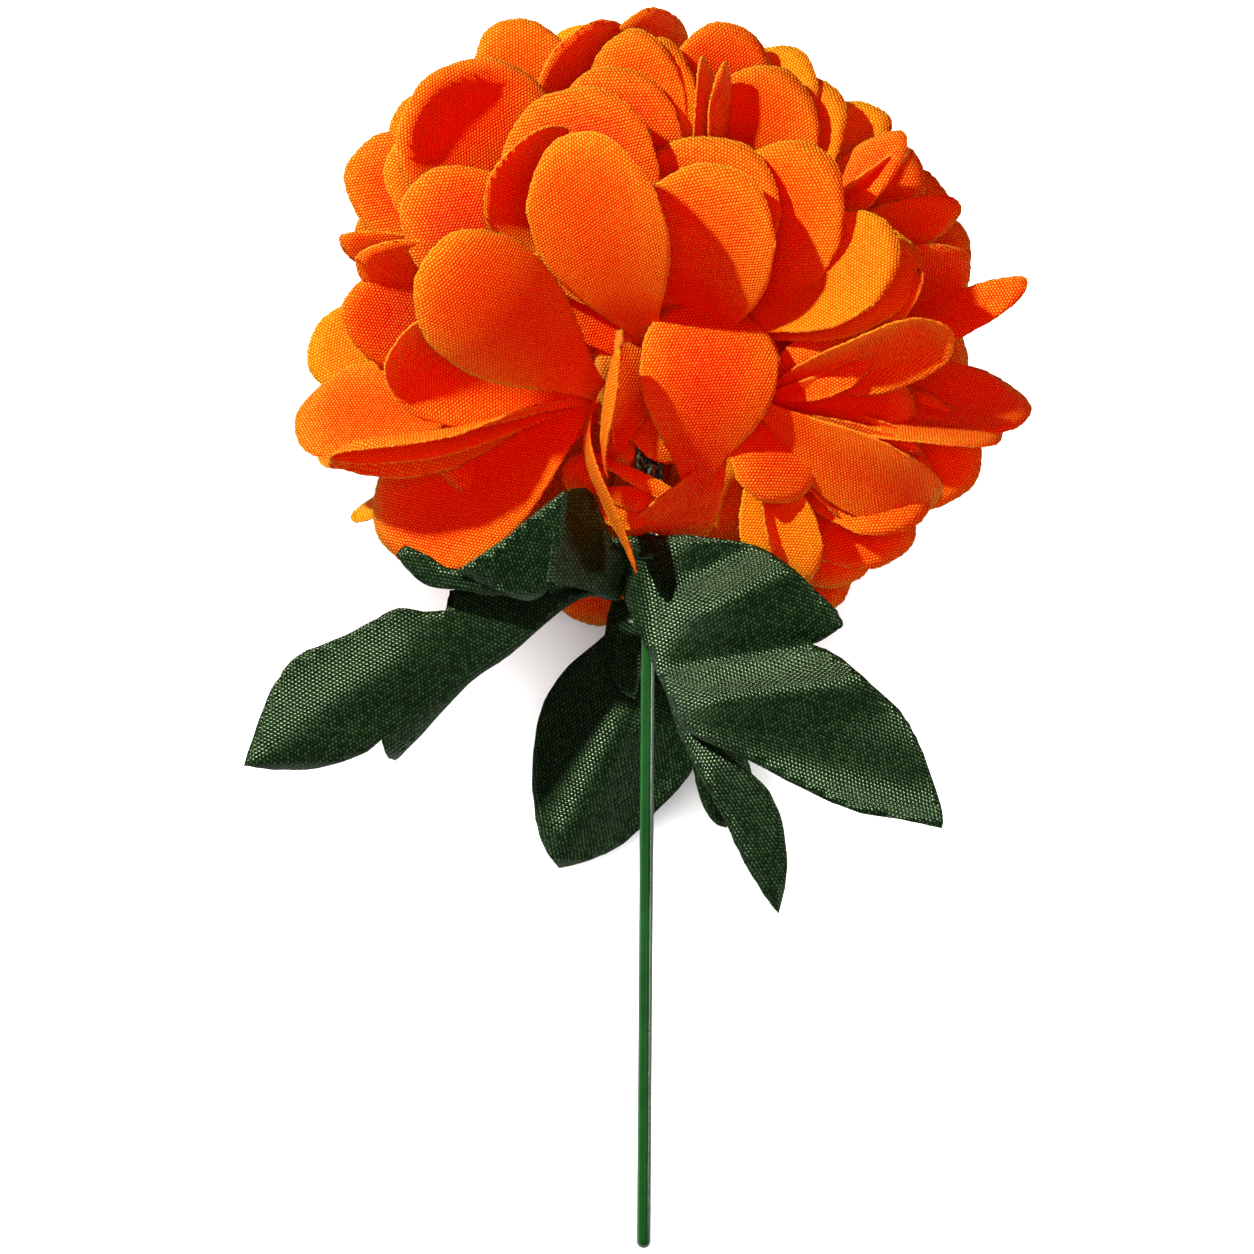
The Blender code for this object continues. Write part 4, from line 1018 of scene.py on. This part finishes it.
def studio_lamp(name, direction, distance, width, power, colour, group):
    """A square lamp that lights one group, seen from the bloom in a direction of the flower's axes."""
    lamp = bpy.data.lights.new(name, "AREA")
    lamp.energy, lamp.size, lamp.color = power, width, colour
    holder = bpy.data.objects.new(name, lamp)
    direction = Vector(direction).normalized()
    holder.location = laid_down @ (direction * distance)
    holder.rotation_euler = (turn_down @ direction).to_track_quat("Z", "Y").to_euler()
    bpy.context.scene.collection.objects.link(holder)
    holder.light_linking.receiver_collection = lit_groups[group]


PALE_LIGHT = (1.0, 0.97, 0.92)
WARM_LIGHT = (1.0, 0.02, 0.003)
WHITE_LIGHT = (1.0, 1.0, 1.0)
studio_lamp("key_lamp", (-0.62, 0.54, 0.57), 1600, 0.07, 34, PALE_LIGHT, "flower")
studio_lamp("fill_lamp", (0.2, 0.1, 1), 1600, 1.0, 1.3, PALE_LIGHT, "green")
studio_lamp("warm_lamp", (0.1, -0.1, 1), 1600, 1.6, 25, WARM_LIGHT, "orange")
studio_lamp("streak_lamp", (1, 0, 0.3), 1600, 0.3, 6, PALE_LIGHT, "green")
studio_lamp("table_lamp", (0, 0.3, 1), 2500, 4, 420, WHITE_LIGHT, "table")

world = bpy.data.worlds.new("studio")
world.use_nodes = True
nodes, links = world.node_tree.nodes, world.node_tree.links
seen_by = nodes.new("ShaderNodeLightPath")
glow = nodes.new("ShaderNodeMapRange")
glow.inputs["To Min"].default_value, glow.inputs["To Max"].default_value = BACKDROP_FELT_AND_SEEN
links.new(seen_by.outputs["Is Camera Ray"], glow.inputs["Value"])
links.new(glow.outputs["Result"], nodes["Background"].inputs["Strength"])
nodes["Background"].inputs["Color"].default_value = (1, 1, 1, 1)
bpy.context.scene.world = world

FRAME_WIDTH = 200.64
EYE = Vector((-3.36, -49.44, 2500))
CAMERA_ROLL = math.radians(0.4)
SENSOR_WIDTH = 36
lens = bpy.data.cameras.new("camera")
lens.lens = SENSOR_WIDTH * EYE.z / FRAME_WIDTH
lens.clip_end = 20
camera = bpy.data.objects.new("camera", lens)
camera.location = laid_down @ EYE
camera.rotation_euler = (turn_down @ Matrix.Rotation(CAMERA_ROLL, 3, "Z")).to_euler()
bpy.context.scene.collection.objects.link(camera)
bpy.context.scene.camera = camera
bpy.context.scene.view_settings.view_transform = "Standard"
